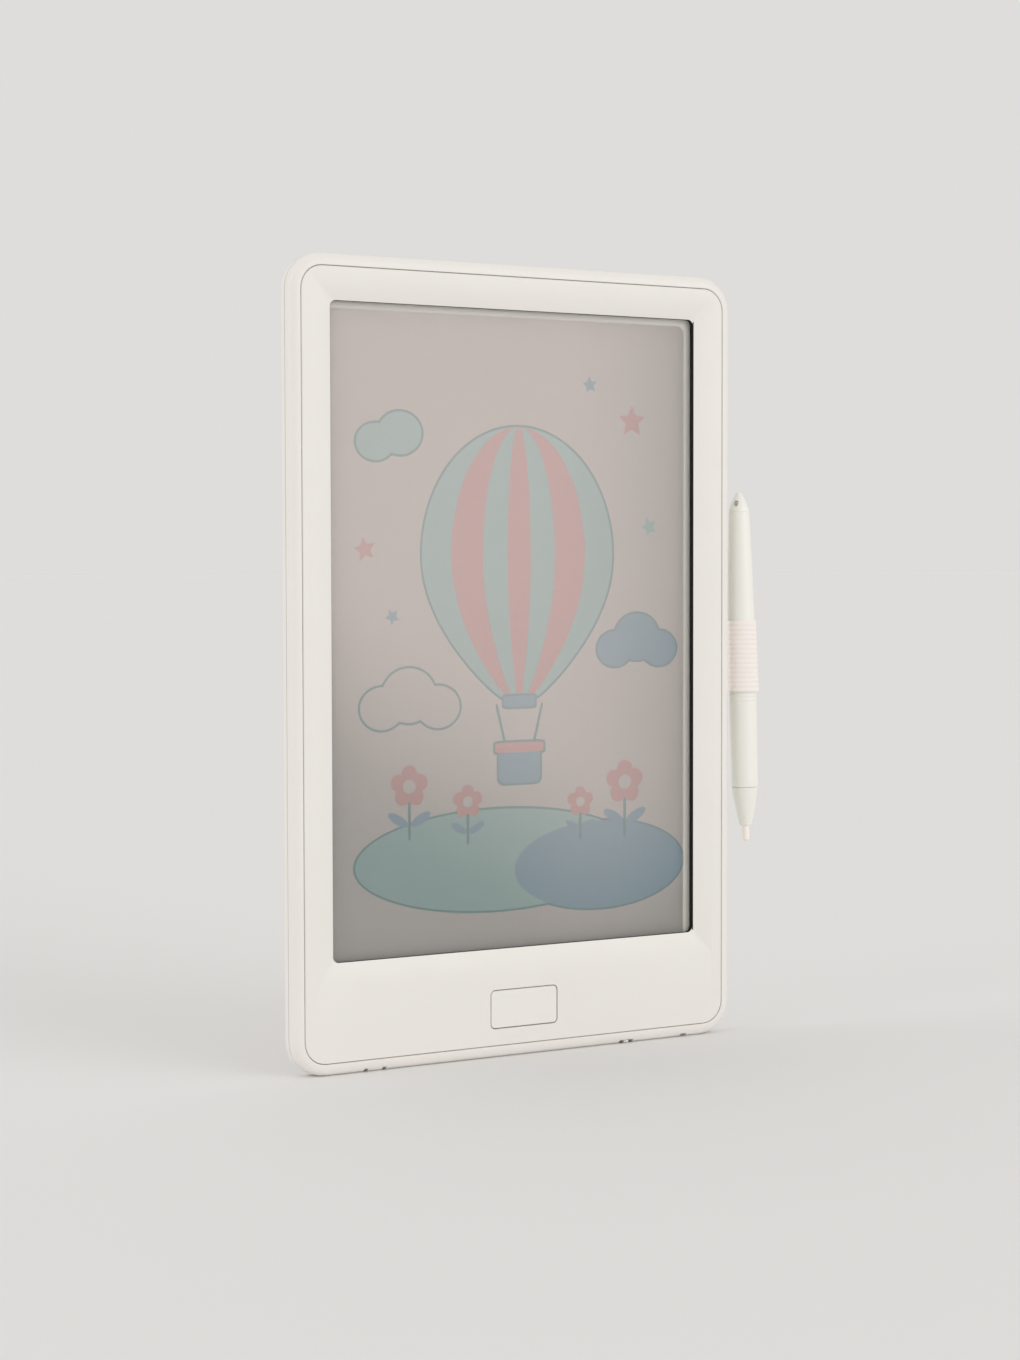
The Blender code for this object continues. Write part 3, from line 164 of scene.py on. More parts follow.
MIX_FACTOR, MIX_FIRST, MIX_SECOND, MIX_RESULT = 0, 6, 7, 2
NOISE_LOW, NOISE_HIGH = 0.3, 0.7


def add_node(material, kind, sockets=None, **settings):
    """Adds one node. sockets fills its inputs, by name or by number, with values or with other nodes' outputs."""
    node = material.node_tree.nodes.new(kind)
    for name, value in settings.items():
        setattr(node, name, value)
    for socket, filling in (sockets or {}).items():
        if isinstance(filling, bpy.types.NodeSocket):
            material.node_tree.links.new(filling, node.inputs[socket])
        else:
            node.inputs[socket].default_value = filling
    return node


def calculate(material, operation, *terms, clamp=False):
    """One step of arithmetic on numbers and outputs."""
    node = add_node(material, "ShaderNodeMath", dict(enumerate(terms)), operation=operation, use_clamp=clamp)
    return node.outputs["Value"]


def rescaled(material, value, from_low, from_high, to_low=0.0, to_high=1.0, curve="LINEAR"):
    """An output carried from one range into another."""
    node = add_node(
        material, "ShaderNodeMapRange",
        {"Value": value, "From Min": from_low, "From Max": from_high, "To Min": to_low, "To Max": to_high},
        interpolation_type=curve)
    return node.outputs["Result"]


def blended(material, factor, first, second):
    """A colour between two others."""
    node = add_node(
        material, "ShaderNodeMix", {MIX_FACTOR: factor, MIX_FIRST: first, MIX_SECOND: second}, data_type="RGBA")
    return node.outputs[MIX_RESULT]


def noise(material, place, size, detail):
    """Noise in patches of a real size."""
    node = add_node(material, "ShaderNodeTexNoise", {"Vector": place, "Scale": 1 / size, "Detail": detail})
    return node.outputs["Fac"]


def remapped(material, place, **sockets):
    """Coordinates that are turned or scaled, by the sockets of a Mapping node."""
    return add_node(material, "ShaderNodeMapping", {"Vector": place, **sockets}).outputs["Vector"]


def along_axes(material, place):
    """The outputs X, Y and Z of some coordinates."""
    return add_node(material, "ShaderNodeSeparateXYZ", {0: place}).outputs


def new_material(name, colour, roughness, ior=1.5, metallic=0.0, alpha=1.0):
    """A Principled material with its constants on the shader's own sockets, and that shader."""
    material = bpy.data.materials.new(name)
    material.use_nodes = True
    shader = material.node_tree.nodes["Principled BSDF"]
    constants = {"Base Color": colour, "Roughness": roughness, "IOR": ior, "Metallic": metallic, "Alpha": alpha}
    for socket, value in constants.items():
        shader.inputs[socket].default_value = value
    return material, shader


def join(material, source, shader, socket):
    """Links an output to one of the shader's sockets."""
    material.node_tree.links.new(source, shader.inputs[socket])


def shade_of(colour, amount):
    """A colour made darker by a share."""
    return tuple(channel * (1 - amount) for channel in colour[:3]) + (1.0,)


def drift(material, shader, place, first, second, size, detail=3.0):
    """Colour that drifts between two near tones, in patches of a real size."""
    patches = noise(material, place, size, detail)
    join(material, blended(material, patches, first, second), shader, "Base Color")


def uneven_gloss(material, shader, place, low, high, size):
    """Roughness that wanders between two values, in patches of a real size."""
    patches = noise(material, place, size, detail=4.0)
    join(material, rescaled(material, patches, NOISE_LOW, NOISE_HIGH, low, high), shader, "Roughness")


def relief(material, shader, height, depth):
    """Bumps of a real depth from a height pattern."""
    bump = add_node(material, "ShaderNodeBump", {"Strength": 1.0, "Distance": depth, "Height": height})
    join(material, bump.outputs["Normal"], shader, "Normal")


def object_place(material):
    """Coordinates in metres that stay with the piece."""
    return add_node(material, "ShaderNodeTexCoord").outputs["Object"]


def moulded_plastic(name, colour, roughness, grain=0.35 * MM, depth=0.006 * MM, ior=1.53):
    """Injection moulded plastic: a spark eroded skin, faint flow patches and a gloss that is never quite even.

    The real grain is near 0.1 mm and is drawn coarser, so that it shows.
    """
    material, shader = new_material(name, colour, roughness, ior)
    place = object_place(material)
    drift(material, shader, place, colour, shade_of(colour, 0.035), size=22 * MM)
    uneven_gloss(material, shader, place, low=roughness - 0.05, high=roughness + 0.06, size=6 * MM)
    relief(material, shader, noise(material, place, grain, detail=2.0), depth)
    return material


def plated_steel(name, colour, roughness, scratch=(1.0, 1.0, 14.0)):
    """Nickel plated steel: a clean bright metal with fine drawn lines that break up its reflections."""
    material, shader = new_material(name, colour, roughness, metallic=1.0)
    place = object_place(material)
    drift(material, shader, place, colour, shade_of(colour, 0.12), size=3 * MM)
    lines = noise(material, remapped(material, place, Scale=scratch), size=2 * MM, detail=6.0)
    gloss = rescaled(material, lines, 0.0, 1.0, to_low=roughness - 0.08, to_high=roughness + 0.15)
    join(material, gloss, shader, "Roughness")
    relief(material, shader, lines, depth=0.004 * MM)
    return material


def closed_cell_foam(name, colour):
    """Black EVA foam tape: matt, with small open cells on its cut edge."""
    material, shader = new_material(name, colour, roughness=0.92, ior=1.45)
    place = object_place(material)
    drift(material, shader, place, colour, linear("#1C1C1E"), size=0.5 * MM)
    cells = add_node(material, "ShaderNodeTexVoronoi", {"Vector": place, "Scale": 1 / (0.3 * MM)})
    relief(material, shader, cells.outputs["Distance"], depth=0.05 * MM)
    return material


# The film's painted reflection and shade: its grey deepens down a slant with a cloudy edge, a little more near the
# bottom, and towards the right

CLOUD_SIZE = 60 * MM
CLOUD_SHIFT = 14 * MM
SLANT_RISE = 0.6
SLANT_LOW, SLANT_HIGH, SLANT_DEPTH = 41 * MM, 131 * MM, 0.7
FALL_LOW, FALL_HIGH, FALL_DEPTH = 60 * MM, 160 * MM, 0.2
RIGHT_START, RIGHT_END, RIGHT_BEND, RIGHT_DEPTH = 10 * MM, 67 * MM, 2.0, 0.55
RIM_BLUR = 0.35 * MM


def painted_film_shade(material, place, axes):
    """How far painted reflection and shade have deepened the film's grey, from 0 to 1."""
    cloud = noise(material, place, CLOUD_SIZE, detail=2.0)
    clouded = calculate(material, "MULTIPLY_ADD", cloud, CLOUD_SHIFT, axes["Z"])
    slanting = calculate(material, "MULTIPLY_ADD", axes["X"], SLANT_RISE, clouded)
    slant = rescaled(material, slanting, SLANT_LOW, SLANT_HIGH, SLANT_DEPTH, 0.0, curve="SMOOTHSTEP")
    fall = rescaled(material, axes["Z"], FALL_LOW, FALL_HIGH, FALL_DEPTH, 0.0)
    right = rescaled(material, axes["X"], RIGHT_START, RIGHT_END)
    bend = calculate(material, "POWER", right, RIGHT_BEND)
    low = calculate(material, "ADD", slant, fall)
    return calculate(material, "MULTIPLY_ADD", bend, RIGHT_DEPTH, low, clamp=True)


def film_border(material, axes, choices):
    """0 on the film's active area, which has a rounded corner, and 1 on the clear rim beyond it."""
    past = []
    for axis, edge in (("X", choices.active_right), ("Z", choices.active_top)):
        over = calculate(material, "SUBTRACT", axes[axis], edge - choices.active_radius)
        past.append(calculate(material, "MAXIMUM", over, 0.0))
    corner = add_node(material, "ShaderNodeCombineXYZ", {"X": past[0], "Z": past[1]})
    reach = add_node(material, "ShaderNodeVectorMath", {0: corner.outputs["Vector"]}, operation="LENGTH")
    inside, outside = choices.active_radius - RIM_BLUR, choices.active_radius + RIM_BLUR
    return rescaled(material, reach.outputs["Value"], inside, outside, curve="SMOOTHSTEP")


def writing_film(name, choices):
    """Liquid crystal between two PET films: milky grey that painted reflection and shade deepen lower down and
    towards the right, a clear rim and a soft sheen.
    """
    material, shader = new_material(name, choices.film_top, roughness=0.32, alpha=choices.film_cover)
    place = object_place(material)
    axes = along_axes(material, place)
    # Painted reflection and shade darken the film's grey lower down and towards the right
    body = blended(material, painted_film_shade(material, place, axes), choices.film_top, choices.film_low_painted_shade)
    tones = blended(material, film_border(material, axes, choices), body, choices.film_rim)
    join(material, tones, shader, "Base Color")
    uneven_gloss(material, shader, place, low=0.28, high=0.38, size=9 * MM)
    return material


def clear_sheet_plastic(name):
    """Clear PET sheet: nearly invisible, with faint handling marks in its gloss."""
    clear = linear("#DEDCD6")
    material, shader = new_material(name, clear, roughness=0.12, ior=1.57, alpha=0.06)
    place = object_place(material)
    drift(material, shader, place, clear, linear("#D2D0C8"), size=30 * MM)
    uneven_gloss(material, shader, place, low=0.08, high=0.2, size=4 * MM)
    return material


def printed_stock(name, colour):
    """Coated paper card or the ink on it: matt, with a little fibre in its tone and surface."""
    material, shader = new_material(name, colour, roughness=0.62, ior=1.45)
    place = object_place(material)
    drift(material, shader, place, colour, shade_of(colour, 0.05), size=1.2 * MM, detail=6.0)
    relief(material, shader, noise(material, place, 0.4 * MM, detail=4.0), depth=0.01 * MM)
    return material


# Spread of the elastic's threads, of its painted shade in the valleys, and of its fuzz
THREAD_SLANT = 0.45
THREAD_LIT = 0.22
VALLEY_SHARE = 0.55
FUZZ_SIZE = 0.25 * MM
FUZZ_SHARE = 0.4


def braided_elastic(name, choices, length, width):
    """Braided polyester elastic: round ribs along the band, each a row of slanting threads, with a soft fuzz, and
    painted shade that darkens the valleys between the ribs and the threads' low parts.
    """
    material, shader = new_material(name, choices.yarn, roughness=0.88)
    shader.inputs["Sheen Weight"].default_value = 0.35
    shader.inputs["Sheen Roughness"].default_value = 0.5
    cut = add_node(material, "ShaderNodeUVMap", uv_map="Cut").outputs["UV"]
    flat = remapped(material, cut, Scale=(length, width, 1.0))
    axes = along_axes(material, flat)
    pitch = width / choices.ribs
    across = calculate(material, "MULTIPLY", axes["Y"], math.pi / pitch)
    rib = calculate(material, "ABSOLUTE", calculate(material, "SINE", across))
    slant = calculate(material, "MULTIPLY_ADD", rib, THREAD_SLANT * pitch, axes["X"])
    phase = calculate(material, "MULTIPLY", slant, math.tau / choices.thread)
    raised = rescaled(material, calculate(material, "SINE", phase), -1.0, 1.0)
    # Painted shade: the colour falls to the valley tone between the ribs and between the raised threads
    rib_out_of_shade = rescaled(material, rib, 0.0, VALLEY_SHARE)
    lit = calculate(material, "MULTIPLY_ADD", raised, THREAD_LIT, rib_out_of_shade, clamp=True)
    join(material, blended(material, lit, choices.valley, choices.yarn), shader, "Base Color")
    fuzz = noise(material, flat, FUZZ_SIZE, detail=3.0)
    relief(material, shader, calculate(material, "MULTIPLY_ADD", fuzz, FUZZ_SHARE, raised), depth=0.06 * MM)
    return material


def solder_masked_board(name):
    """FR4 board under green solder mask: glossy, with the copper tracks showing as paler lines."""
    mask = linear("#1F5B33")
    material, shader = new_material(name, mask, roughness=0.35)
    upright = remapped(material, object_place(material), Rotation=(math.pi / 2, 0.0, 0.0))
    tracks = add_node(material, "ShaderNodeTexBrick", {
        "Vector": upright, "Color1": mask, "Color2": linear("#1C5430"), "Mortar": linear("#3B7A4A"), "Scale": 1.0,
        "Mortar Size": 0.12 * MM, "Brick Width": 3.2 * MM, "Row Height": 1.1 * MM})
    join(material, tracks.outputs["Color"], shader, "Base Color")
    relief(material, shader, tracks.outputs["Fac"], depth=0.03 * MM)
    return material


def ribbon_film(name):
    """Polyimide ribbon: amber film over fine copper tracks."""
    track_pitch = 1.0 * MM
    material, shader = new_material(name, linear("#B9772E"), roughness=0.3, ior=1.6)
    axes = along_axes(material, object_place(material))
    phase = calculate(material, "MULTIPLY", axes["X"], math.tau / track_pitch)
    wave = calculate(material, "SINE", phase)
    join(material, blended(material, wave, linear("#8C5220"), linear("#CF9550")), shader, "Base Color")
    return material


# Pieces

def link_to_scene(name, mesh):
    """An object in the scene for a mesh."""
    obj = bpy.data.objects.new(name, mesh)
    bpy.context.scene.collection.objects.link(obj)
    return obj


def mesh_of(name, bm):
    """A smooth shaded mesh of a bmesh, sharp only at its real corners."""
    mesh = bpy.data.meshes.new(name)
    bm.to_mesh(mesh)
    bm.free()
    mesh.shade_smooth()
    mesh.set_sharp_from_angle(angle=SHARP_ANGLE)
    return mesh


def round_edges(bm, edges, radius, segments):
    """Rounds some edges of a bmesh."""
    bmesh.ops.bevel(
        bm, geom=edges, offset=radius, offset_type="OFFSET", affect="EDGES", segments=segments, profile=0.5,
        material=-1, clamp_overlap=True)


def even_flats(obj):
    """Weighs a piece's normals by area, so that its flat faces shade flat."""
    obj.modifiers.new("even_flats", "WEIGHTED_NORMAL").keep_sharp = True


def new_piece(obj, materials, body, nodes):
    """Gives a piece its materials and its body, and hides the CAD nodes it stands for."""
    for material in materials:
        obj.data.materials.append(material)
    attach(obj, body)
    if nodes:
        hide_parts(*nodes)
    return obj


def softened(node, name, material, body, slot, fillet):
    """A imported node's form with its sharp edges rounded as a mould leaves them, and its round faces smooth."""
    bm = bmesh.new()
    bm.from_mesh(frame["nodes"][node].data)
    bmesh.ops.remove_doubles(bm, verts=bm.verts, dist=WELD)
    bmesh.ops.dissolve_limit(bm, angle_limit=FLAT_ANGLE, verts=bm.verts, edges=bm.edges)
    crisp = [edge for edge in bm.edges if edge.is_manifold and edge.calc_face_angle() > CRISP_ANGLE]
    round_edges(bm, crisp, fillet, segments=2)
    obj = link_to_scene(name, mesh_of(name, bm))
    even_flats(obj)
    return new_piece(obj, [material], body, [node])


# The window's thin inner edge, and the strip of its right slope that is black too. The tilts are limits on the
# faces' normals: they tell a wall from a slope, the right slope from the flats, and a straight side from a corner.

LIP_EDGE = 0.37 * MM
WINDOW_RIGHT = 69.8 * MM
EDGE_SHOWN = 0.35 * MM
WALL_TILT = 0.5
SLOPE_LEAST, SLOPE_MOST = 0.03, 0.95
CORNER_TILT = 0.5


def black_edge(plate, material):
    """Makes the window's inner edge black, and a little more of its right slope beside it."""
    plate.data.materials.append(material)
    limit = WINDOW_RIGHT + EDGE_SHOWN
    bm = bmesh.new()
    bm.from_mesh(plate.data)
    slope = [face for face in bm.faces
             if face.calc_center_median().x > 0 and SLOPE_LEAST < -face.normal.x < SLOPE_MOST]
    geom = slope + [edge for edge in bm.edges if any(face in slope for face in edge.link_faces)]
    geom += [vert for vert in bm.verts if any(face in slope for face in vert.link_faces)]
    bmesh.ops.bisect_plane(bm, geom=geom, dist=WELD, plane_co=(limit, 0, 0), plane_no=(1, 0, 0))
    for face in bm.faces:
        middle = face.calc_center_median()
        leftward = -face.normal.x
        inner = middle.y > PLATE_REAR - LIP_EDGE and abs(face.normal.y) < WALL_TILT
        straight = leftward > SLOPE_LEAST and abs(face.normal.z) < CORNER_TILT * leftward
        if inner or (straight and WINDOW_RIGHT < middle.x < limit):
            face.material_index = 1
    bm.to_mesh(plate.data)
    bm.free()


def dress(node, material):
    """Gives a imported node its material."""
    slots = frame["nodes"][node].data.materials
    slots.clear()
    slots.append(material)


def turned(profile, sides):
    """A closed body turned round the local Z axis from (radius, height) points that start and end on the axis."""
    bm = bmesh.new()
    verts = [bm.verts.new((radius, 0.0, height)) for radius, height in profile]
    edges = [bm.edges.new(pair) for pair in zip(verts, verts[1:])]
    bmesh.ops.spin(
        bm, geom=verts + edges, cent=(0, 0, 0), axis=(0, 0, 1), dvec=(0, 0, 0), angle=math.tau, steps=sides,
        use_merge=True, use_duplicate=False)
    bmesh.ops.remove_doubles(bm, verts=bm.verts, dist=WELD)
    bmesh.ops.recalc_face_normals(bm, faces=bm.faces)
    return bm


def rod(radius, length, sides):
    """A plain rod about the local Z axis."""
    bm = bmesh.new()
    bmesh.ops.create_cone(
        bm, cap_ends=True, cap_tris=False, segments=sides, radius1=radius, radius2=radius, depth=length)
    return bm


def carved(mesh, cutter):
    """A mesh with a body cut out of it for good."""
    blank = link_to_scene("blank", mesh)
    tool = link_to_scene("tool", mesh_of("tool", cutter))
    cut = blank.modifiers.new("cut", "BOOLEAN")
    cut.operation = "DIFFERENCE"
    cut.solver = "EXACT"
    cut.object = tool
    bpy.context.view_layer.update()
    result = bpy.data.meshes.new_from_object(blank.evaluated_get(bpy.context.evaluated_depsgraph_get()))
    for obj in (blank, tool):
        bpy.data.objects.remove(obj)
    return result


# Stylus sizes, as heights above the middle of the loop along the barrel

STYLUS_TOP = 57.7 * MM
BARREL_LENGTH = 104.1 * MM
BARREL_BOTTOM = STYLUS_TOP - BARREL_LENGTH
BARREL_RADIUS = 4.85 * MM
BARREL_SEAM_RADIUS = 4.7 * MM
PLUG_HEIGHT = 6.7 * MM
PLUG_RADIUS = 3.6 * MM
PLUG_END_RADIUS = 1.1 * MM
PLUG_ROUND = 0.6 * MM
PLUG_EXPONENT = 1.4
PLUG_LINE_WIDTH = 0.3 * MM
PLUG_LINE_DEPTH = 0.15 * MM
PLUG_LINE_FLOOR = (0.8, 0.2)
HOLE_FROM_TOP = 3.9 * MM
HOLE_RADIUS = 1.05 * MM
HOLE_TURN = math.radians(-56.0)
GRIP_RINGS = 3
GRIP_PITCH = 1.5 * MM
GRIP_DEPTH = 0.15 * MM
GRIP_HALF_WIDTH = 0.42 * MM
GRIP_TOP = -LOOP_WIDTH / 2 - 0.5 * MM
GRIP_MIDDLES = [GRIP_TOP - number * GRIP_PITCH for number in range(GRIP_RINGS)]
TAPER_START = GRIP_TOP + 0.7 * MM
TAPER_END = STYLUS_TOP - PLUG_HEIGHT - PLUG_LINE_WIDTH
TAPER_EXPONENT = 2.0
SEAM_GAP = 0.1 * MM
SEAM_EDGE = 0.12 * MM
CONE_LENGTH = 13.7 * MM
CONE_SHOULDER = BARREL_BOTTOM - SEAM_GAP
CONE_SHOULDER_RADIUS = 4.65 * MM
CONE_TIP = CONE_SHOULDER - CONE_LENGTH
CONE_TIP_RADIUS = 2.1 * MM
CONE_SWELL = 0.25 * MM
CONE_RINGS = (1.1 * MM, 2.5 * MM)
CONE_RING_DEPTH = 0.09 * MM
CONE_RING_HALF = 0.22 * MM
POINT_RADIUS = 1.2 * MM
POINT_SHOWN = 5.6 * MM
POINT_ROUND = 1.0 * MM

# Steps of the outlines
BARREL_STEPS = 12
GRIP_STEPS = 48
TAPER_STEPS = 60
PLUG_STEPS = 30
PLUG_ROUND_STEPS = 8
CONE_STEPS = 90
POINT_STEPS = 12
HOLE_SIDES = 48


def spaced(low, high, steps):
    """Evenly spaced values from low to high."""
    return [low + (high - low) * step / steps for step in range(steps + 1)]


def dipped(radius, height, middles, depth, half_width):
    """The radius where smooth rings are sunk into a turned surface."""
    for middle in middles:
        away = abs(height - middle) / half_width
        if away < 1:
            return radius - depth * (0.5 + 0.5 * math.cos(math.pi * away))
    return radius


def barrel_radius(height):
    """The barrel's radius at a height below its end plug: its seam end, straight middle and tapered top."""
    if height > TAPER_START:
        share = min(1.0, (height - TAPER_START) / (TAPER_END - TAPER_START))
        return BARREL_RADIUS - (BARREL_RADIUS - PLUG_RADIUS) * share ** TAPER_EXPONENT
    share = min(1.0, (height - BARREL_BOTTOM) / (min(GRIP_MIDDLES) - BARREL_BOTTOM))
    radius = BARREL_SEAM_RADIUS + (BARREL_RADIUS - BARREL_SEAM_RADIUS) * share
    return dipped(radius, height, GRIP_MIDDLES, GRIP_DEPTH, GRIP_HALF_WIDTH)


def plug_points():
    """The end plug's outline: the joint line below it, a rounded taper and the tip."""
    low = STYLUS_TOP - PLUG_HEIGHT
    high = STYLUS_TOP - PLUG_ROUND
    points = [(PLUG_RADIUS - PLUG_LINE_DEPTH, low - share * PLUG_LINE_WIDTH) for share in PLUG_LINE_FLOOR]
    for share in spaced(0.0, 1.0, PLUG_STEPS):
        radius = PLUG_RADIUS - (PLUG_RADIUS - PLUG_END_RADIUS) * share ** PLUG_EXPONENT
        points.append((radius, low + (high - low) * share))
    for angle in spaced(0.0, math.pi / 2, PLUG_ROUND_STEPS)[1:-1]:
        points.append((PLUG_END_RADIUS * math.cos(angle), high + PLUG_ROUND * math.sin(angle)))
    return points + [(0.0, STYLUS_TOP)]


def barrel_outline():
    """The barrel's outline from the axis at its seam to the axis at its top."""
    grip_low = min(GRIP_MIDDLES) - GRIP_HALF_WIDTH
    grip_high = max(GRIP_MIDDLES) + GRIP_HALF_WIDTH
    heights = spaced(BARREL_BOTTOM, grip_low, BARREL_STEPS)[1:-1]
    heights += spaced(grip_low, grip_high, GRIP_STEPS)
    heights += spaced(TAPER_START, TAPER_END, TAPER_STEPS)
    points = [
        (0.0, BARREL_BOTTOM), (BARREL_SEAM_RADIUS - SEAM_EDGE, BARREL_BOTTOM),
        (BARREL_SEAM_RADIUS, BARREL_BOTTOM + SEAM_EDGE)]
    return points + [(barrel_radius(height), height) for height in heights] + plug_points()


def barrel_mesh(choices):
    """The barrel and its end plug, with the lanyard hole through the plug."""
    blank = mesh_of("barrel", turned(barrel_outline(), choices.sides))
    facing = Matrix.Rotation(HOLE_TURN, 4, "Z") @ Matrix.Rotation(math.pi / 2, 4, "X")
    lift = Matrix.Translation(Vector((0.0, 0.0, STYLUS_TOP - HOLE_FROM_TOP)))
    hole = rod(HOLE_RADIUS, 4 * BARREL_RADIUS, HOLE_SIDES)
    bmesh.ops.transform(hole, matrix=lift @ facing, verts=hole.verts)
    bm = bmesh.new()
    bm.from_mesh(carved(blank, hole))
    lowest = STYLUS_TOP - 2 * HOLE_FROM_TOP + HOLE_RADIUS
    rims = [edge for edge in bm.edges if edge.is_manifold and edge.calc_face_angle() > SHARP_ANGLE
            and min(vert.co.z for vert in edge.verts) > lowest]
    round_edges(bm, rims, choices.hole_rim, segments=3)
    return mesh_of("stylus_barrel_moulding", bm)


def cone_outline():
    """The cone's outline from the axis at its tip to the axis at the seam."""
    middles = [CONE_TIP + above for above in CONE_RINGS]
    points = [(0.0, CONE_TIP), (CONE_TIP_RADIUS - 2 * SEAM_EDGE, CONE_TIP)]
    for share in spaced(0.0, 1.0, CONE_STEPS)[2:-1]:
        straight = CONE_TIP_RADIUS + (CONE_SHOULDER_RADIUS - CONE_TIP_RADIUS) * share
        radius = straight + CONE_SWELL * math.sin(math.pi * share)
        height = CONE_TIP + CONE_LENGTH * share
        points.append((dipped(radius, height, middles, CONE_RING_DEPTH, CONE_RING_HALF), height))
    return points + [(CONE_SHOULDER_RADIUS - SEAM_EDGE, CONE_SHOULDER), (0.0, CONE_SHOULDER)]


def point_outline():
    """The writing point's outline, from its rounded end up into the cone."""
    end = CONE_TIP - POINT_SHOWN
    hidden_end = CONE_TIP + SEAM_GAP
    points = [(0.0, end)]
    for angle in spaced(0.0, math.pi / 2, POINT_STEPS):
        radius = POINT_RADIUS - POINT_ROUND + POINT_ROUND * math.sin(angle)
        points.append((radius, end + POINT_ROUND * (1 - math.cos(angle))))
    return points + [(POINT_RADIUS, hidden_end), (0.0, hidden_end)]


# Elastic

BAND_TAIL = 4.8 * MM
BAND_HALF = 0.3 * MM
BAND_SNUG = 0.1 * MM
BAND_RADIUS = 5.3 * MM
BAND_DRAWN_IN = 0.3 * MM
BAND_FLARE = 0.22 * MM
BAND_FLARE_EXPONENT = 3
LAYER_SPACING = 0.43 * MM
FLARE_RADIUS = 0.9 * MM
PATH_STEP = 0.33 * MM
RIB_STEPS = 8
RIB_EXPONENT = 0.6


def band_path():
    """The middle line of the elastic from above, as (x, y, outward x, outward y, share of the stylus's lean)."""
    centre_x, centre_y = STYLUS_MIDDLE.x, STYLUS_MIDDLE.y
    rise = LAYER_SPACING + FLARE_RADIUS
    flare_x = centre_x - math.sqrt((BAND_RADIUS + FLARE_RADIUS) ** 2 - rise ** 2)
    turn = math.atan2(rise, centre_x - flare_x)
    points = []
    start = CASE_RIGHT - BAND_TAIL
    count = round((flare_x - start) / PATH_STEP)
    for step in range(count):
        points.append((start + (flare_x - start) * step / count, centre_y + LAYER_SPACING, 0.0, 1.0, 0.0))
    count = round((math.pi / 2 - turn) * FLARE_RADIUS / PATH_STEP)
    for step in range(count):
        angle = -math.pi / 2 + (math.pi / 2 - turn) * step / count
        across, along = math.cos(angle), math.sin(angle)
        x, y = flare_x + FLARE_RADIUS * across, centre_y + rise + FLARE_RADIUS * along
        points.append((x, y, -across, -along, step / count))
    sweep = math.pi - turn
    count = round(sweep * BAND_RADIUS / PATH_STEP)
    for step in range(count + 1):
        angle = sweep * (1 - step / count)
        across, along = math.cos(angle), math.sin(angle)
        points.append((centre_x + BAND_RADIUS * across, centre_y + BAND_RADIUS * along, across, along, 1.0))
    mirrored = [(x, 2 * centre_y - y, nx, -ny, share) for x, y, nx, ny, share in reversed(points[:-1])]
    return points + mirrored


def band_length(path):
    """The length of the band's middle line."""
    return sum(math.dist(first[:2], second[:2]) for first, second in zip(path, path[1:]))


def elastic_mesh(choices):
    """The band as a flat cut strip with its ribs, bent round the stylus and back into the case."""
    path = band_path()
    columns, rows = len(path) - 1, choices.ribs * RIB_STEPS
    lean = -STYLUS_UP.x / STYLUS_UP.z
    bm = bmesh.new()
    bmesh.ops.create_grid(bm, x_segments=columns, y_segments=rows, size=0.5)
    inner = set(bm.verts)
    bmesh.ops.extrude_face_region(bm, geom=list(bm.faces), use_keep_orig=True)
    cut = bm.loops.layers.uv.new("Cut")
    for face in bm.faces:
        for loop in face.loops:
            loop[cut].uv = (loop.vert.co.x + 0.5, loop.vert.co.y + 0.5)
    for vert in bm.verts:
        column = round((vert.co.x + 0.5) * columns)
        share = vert.co.y + 0.5
        x, y, out_x, out_y, hug = path[column]
        if vert in inner:
            offset = -BAND_HALF - BAND_SNUG * hug
        else:
            rib = abs(math.sin(math.pi * share * choices.ribs)) ** RIB_EXPONENT
            offset = BAND_HALF - choices.relief * (1 - rib)
        offset += (BAND_FLARE * (1 - share) ** BAND_FLARE_EXPONENT - BAND_DRAWN_IN * share) * hug
        z = LOOP_LOW.z + LOOP_WIDTH * share
        shift = (LOOP_MIDDLE.z - z) * lean * hug
        vert.co = (x + shift + out_x * offset, y + out_y * offset, z)
    bmesh.ops.recalc_face_normals(bm, faces=bm.faces)
    if bm.calc_volume(signed=True) < 0:
        bmesh.ops.reverse_faces(bm, faces=bm.faces)
    return mesh_of("elastic_band", bm), band_length(path)


# The card's picture: a balloon over a hill, with clouds, flowers and stars. A group says whether its shapes have
# an outline. A shape is its kind, its middle (x, z), its half width and half height, its turn in degrees and its
# ink. Sizes are millimetres on the card.

TEAL, PINK, BLUE, LINE, PALE = range(5)
INK_STEP = 0.003 * MM
LINE_WIDTH = 0.8
HILLS = (("disc", -6, 66, 54, 17, 0, TEAL), ("disc", 34, 62, 34, 15, 0, BLUE))
BALLOON = (("drop", 2, 168, 37, 43, 0, TEAL),)
STRIPES = (
    ("drop", 2, 168, 26, 43, 0, PINK), ("drop", 2, 168, 14, 43, 0, TEAL), ("drop", 2, 168, 4.5, 43, 0, PINK))
ROPES = (("bar", -5.0, 110.5, 0.5, 8.0, 14, LINE), ("bar", 9.0, 110.5, 0.5, 8.0, -14, LINE))
BASKET = (
    ("bar", 2, 97.5, 8.0, 6.0, 0, BLUE), ("bar", 2, 103.5, 9.4, 1.7, 0, PINK), ("bar", 2, 119, 6.0, 1.8, 0, BLUE))
PALE_CLOUD = (
    ("disc", -50, 118, 8, 7, 0, PALE), ("disc", -40, 122, 10, 9, 0, PALE), ("disc", -29, 118, 8, 7, 0, PALE))
BLUE_CLOUD = (("disc", 40, 136, 7, 6, 0, BLUE), ("disc", 49, 140, 9, 8, 0, BLUE), ("disc", 58, 136, 7, 6, 0, BLUE))
TEAL_CLOUD = (("disc", -52, 205, 7, 6, 0, TEAL), ("disc", -43, 208, 8, 7, 0, TEAL))
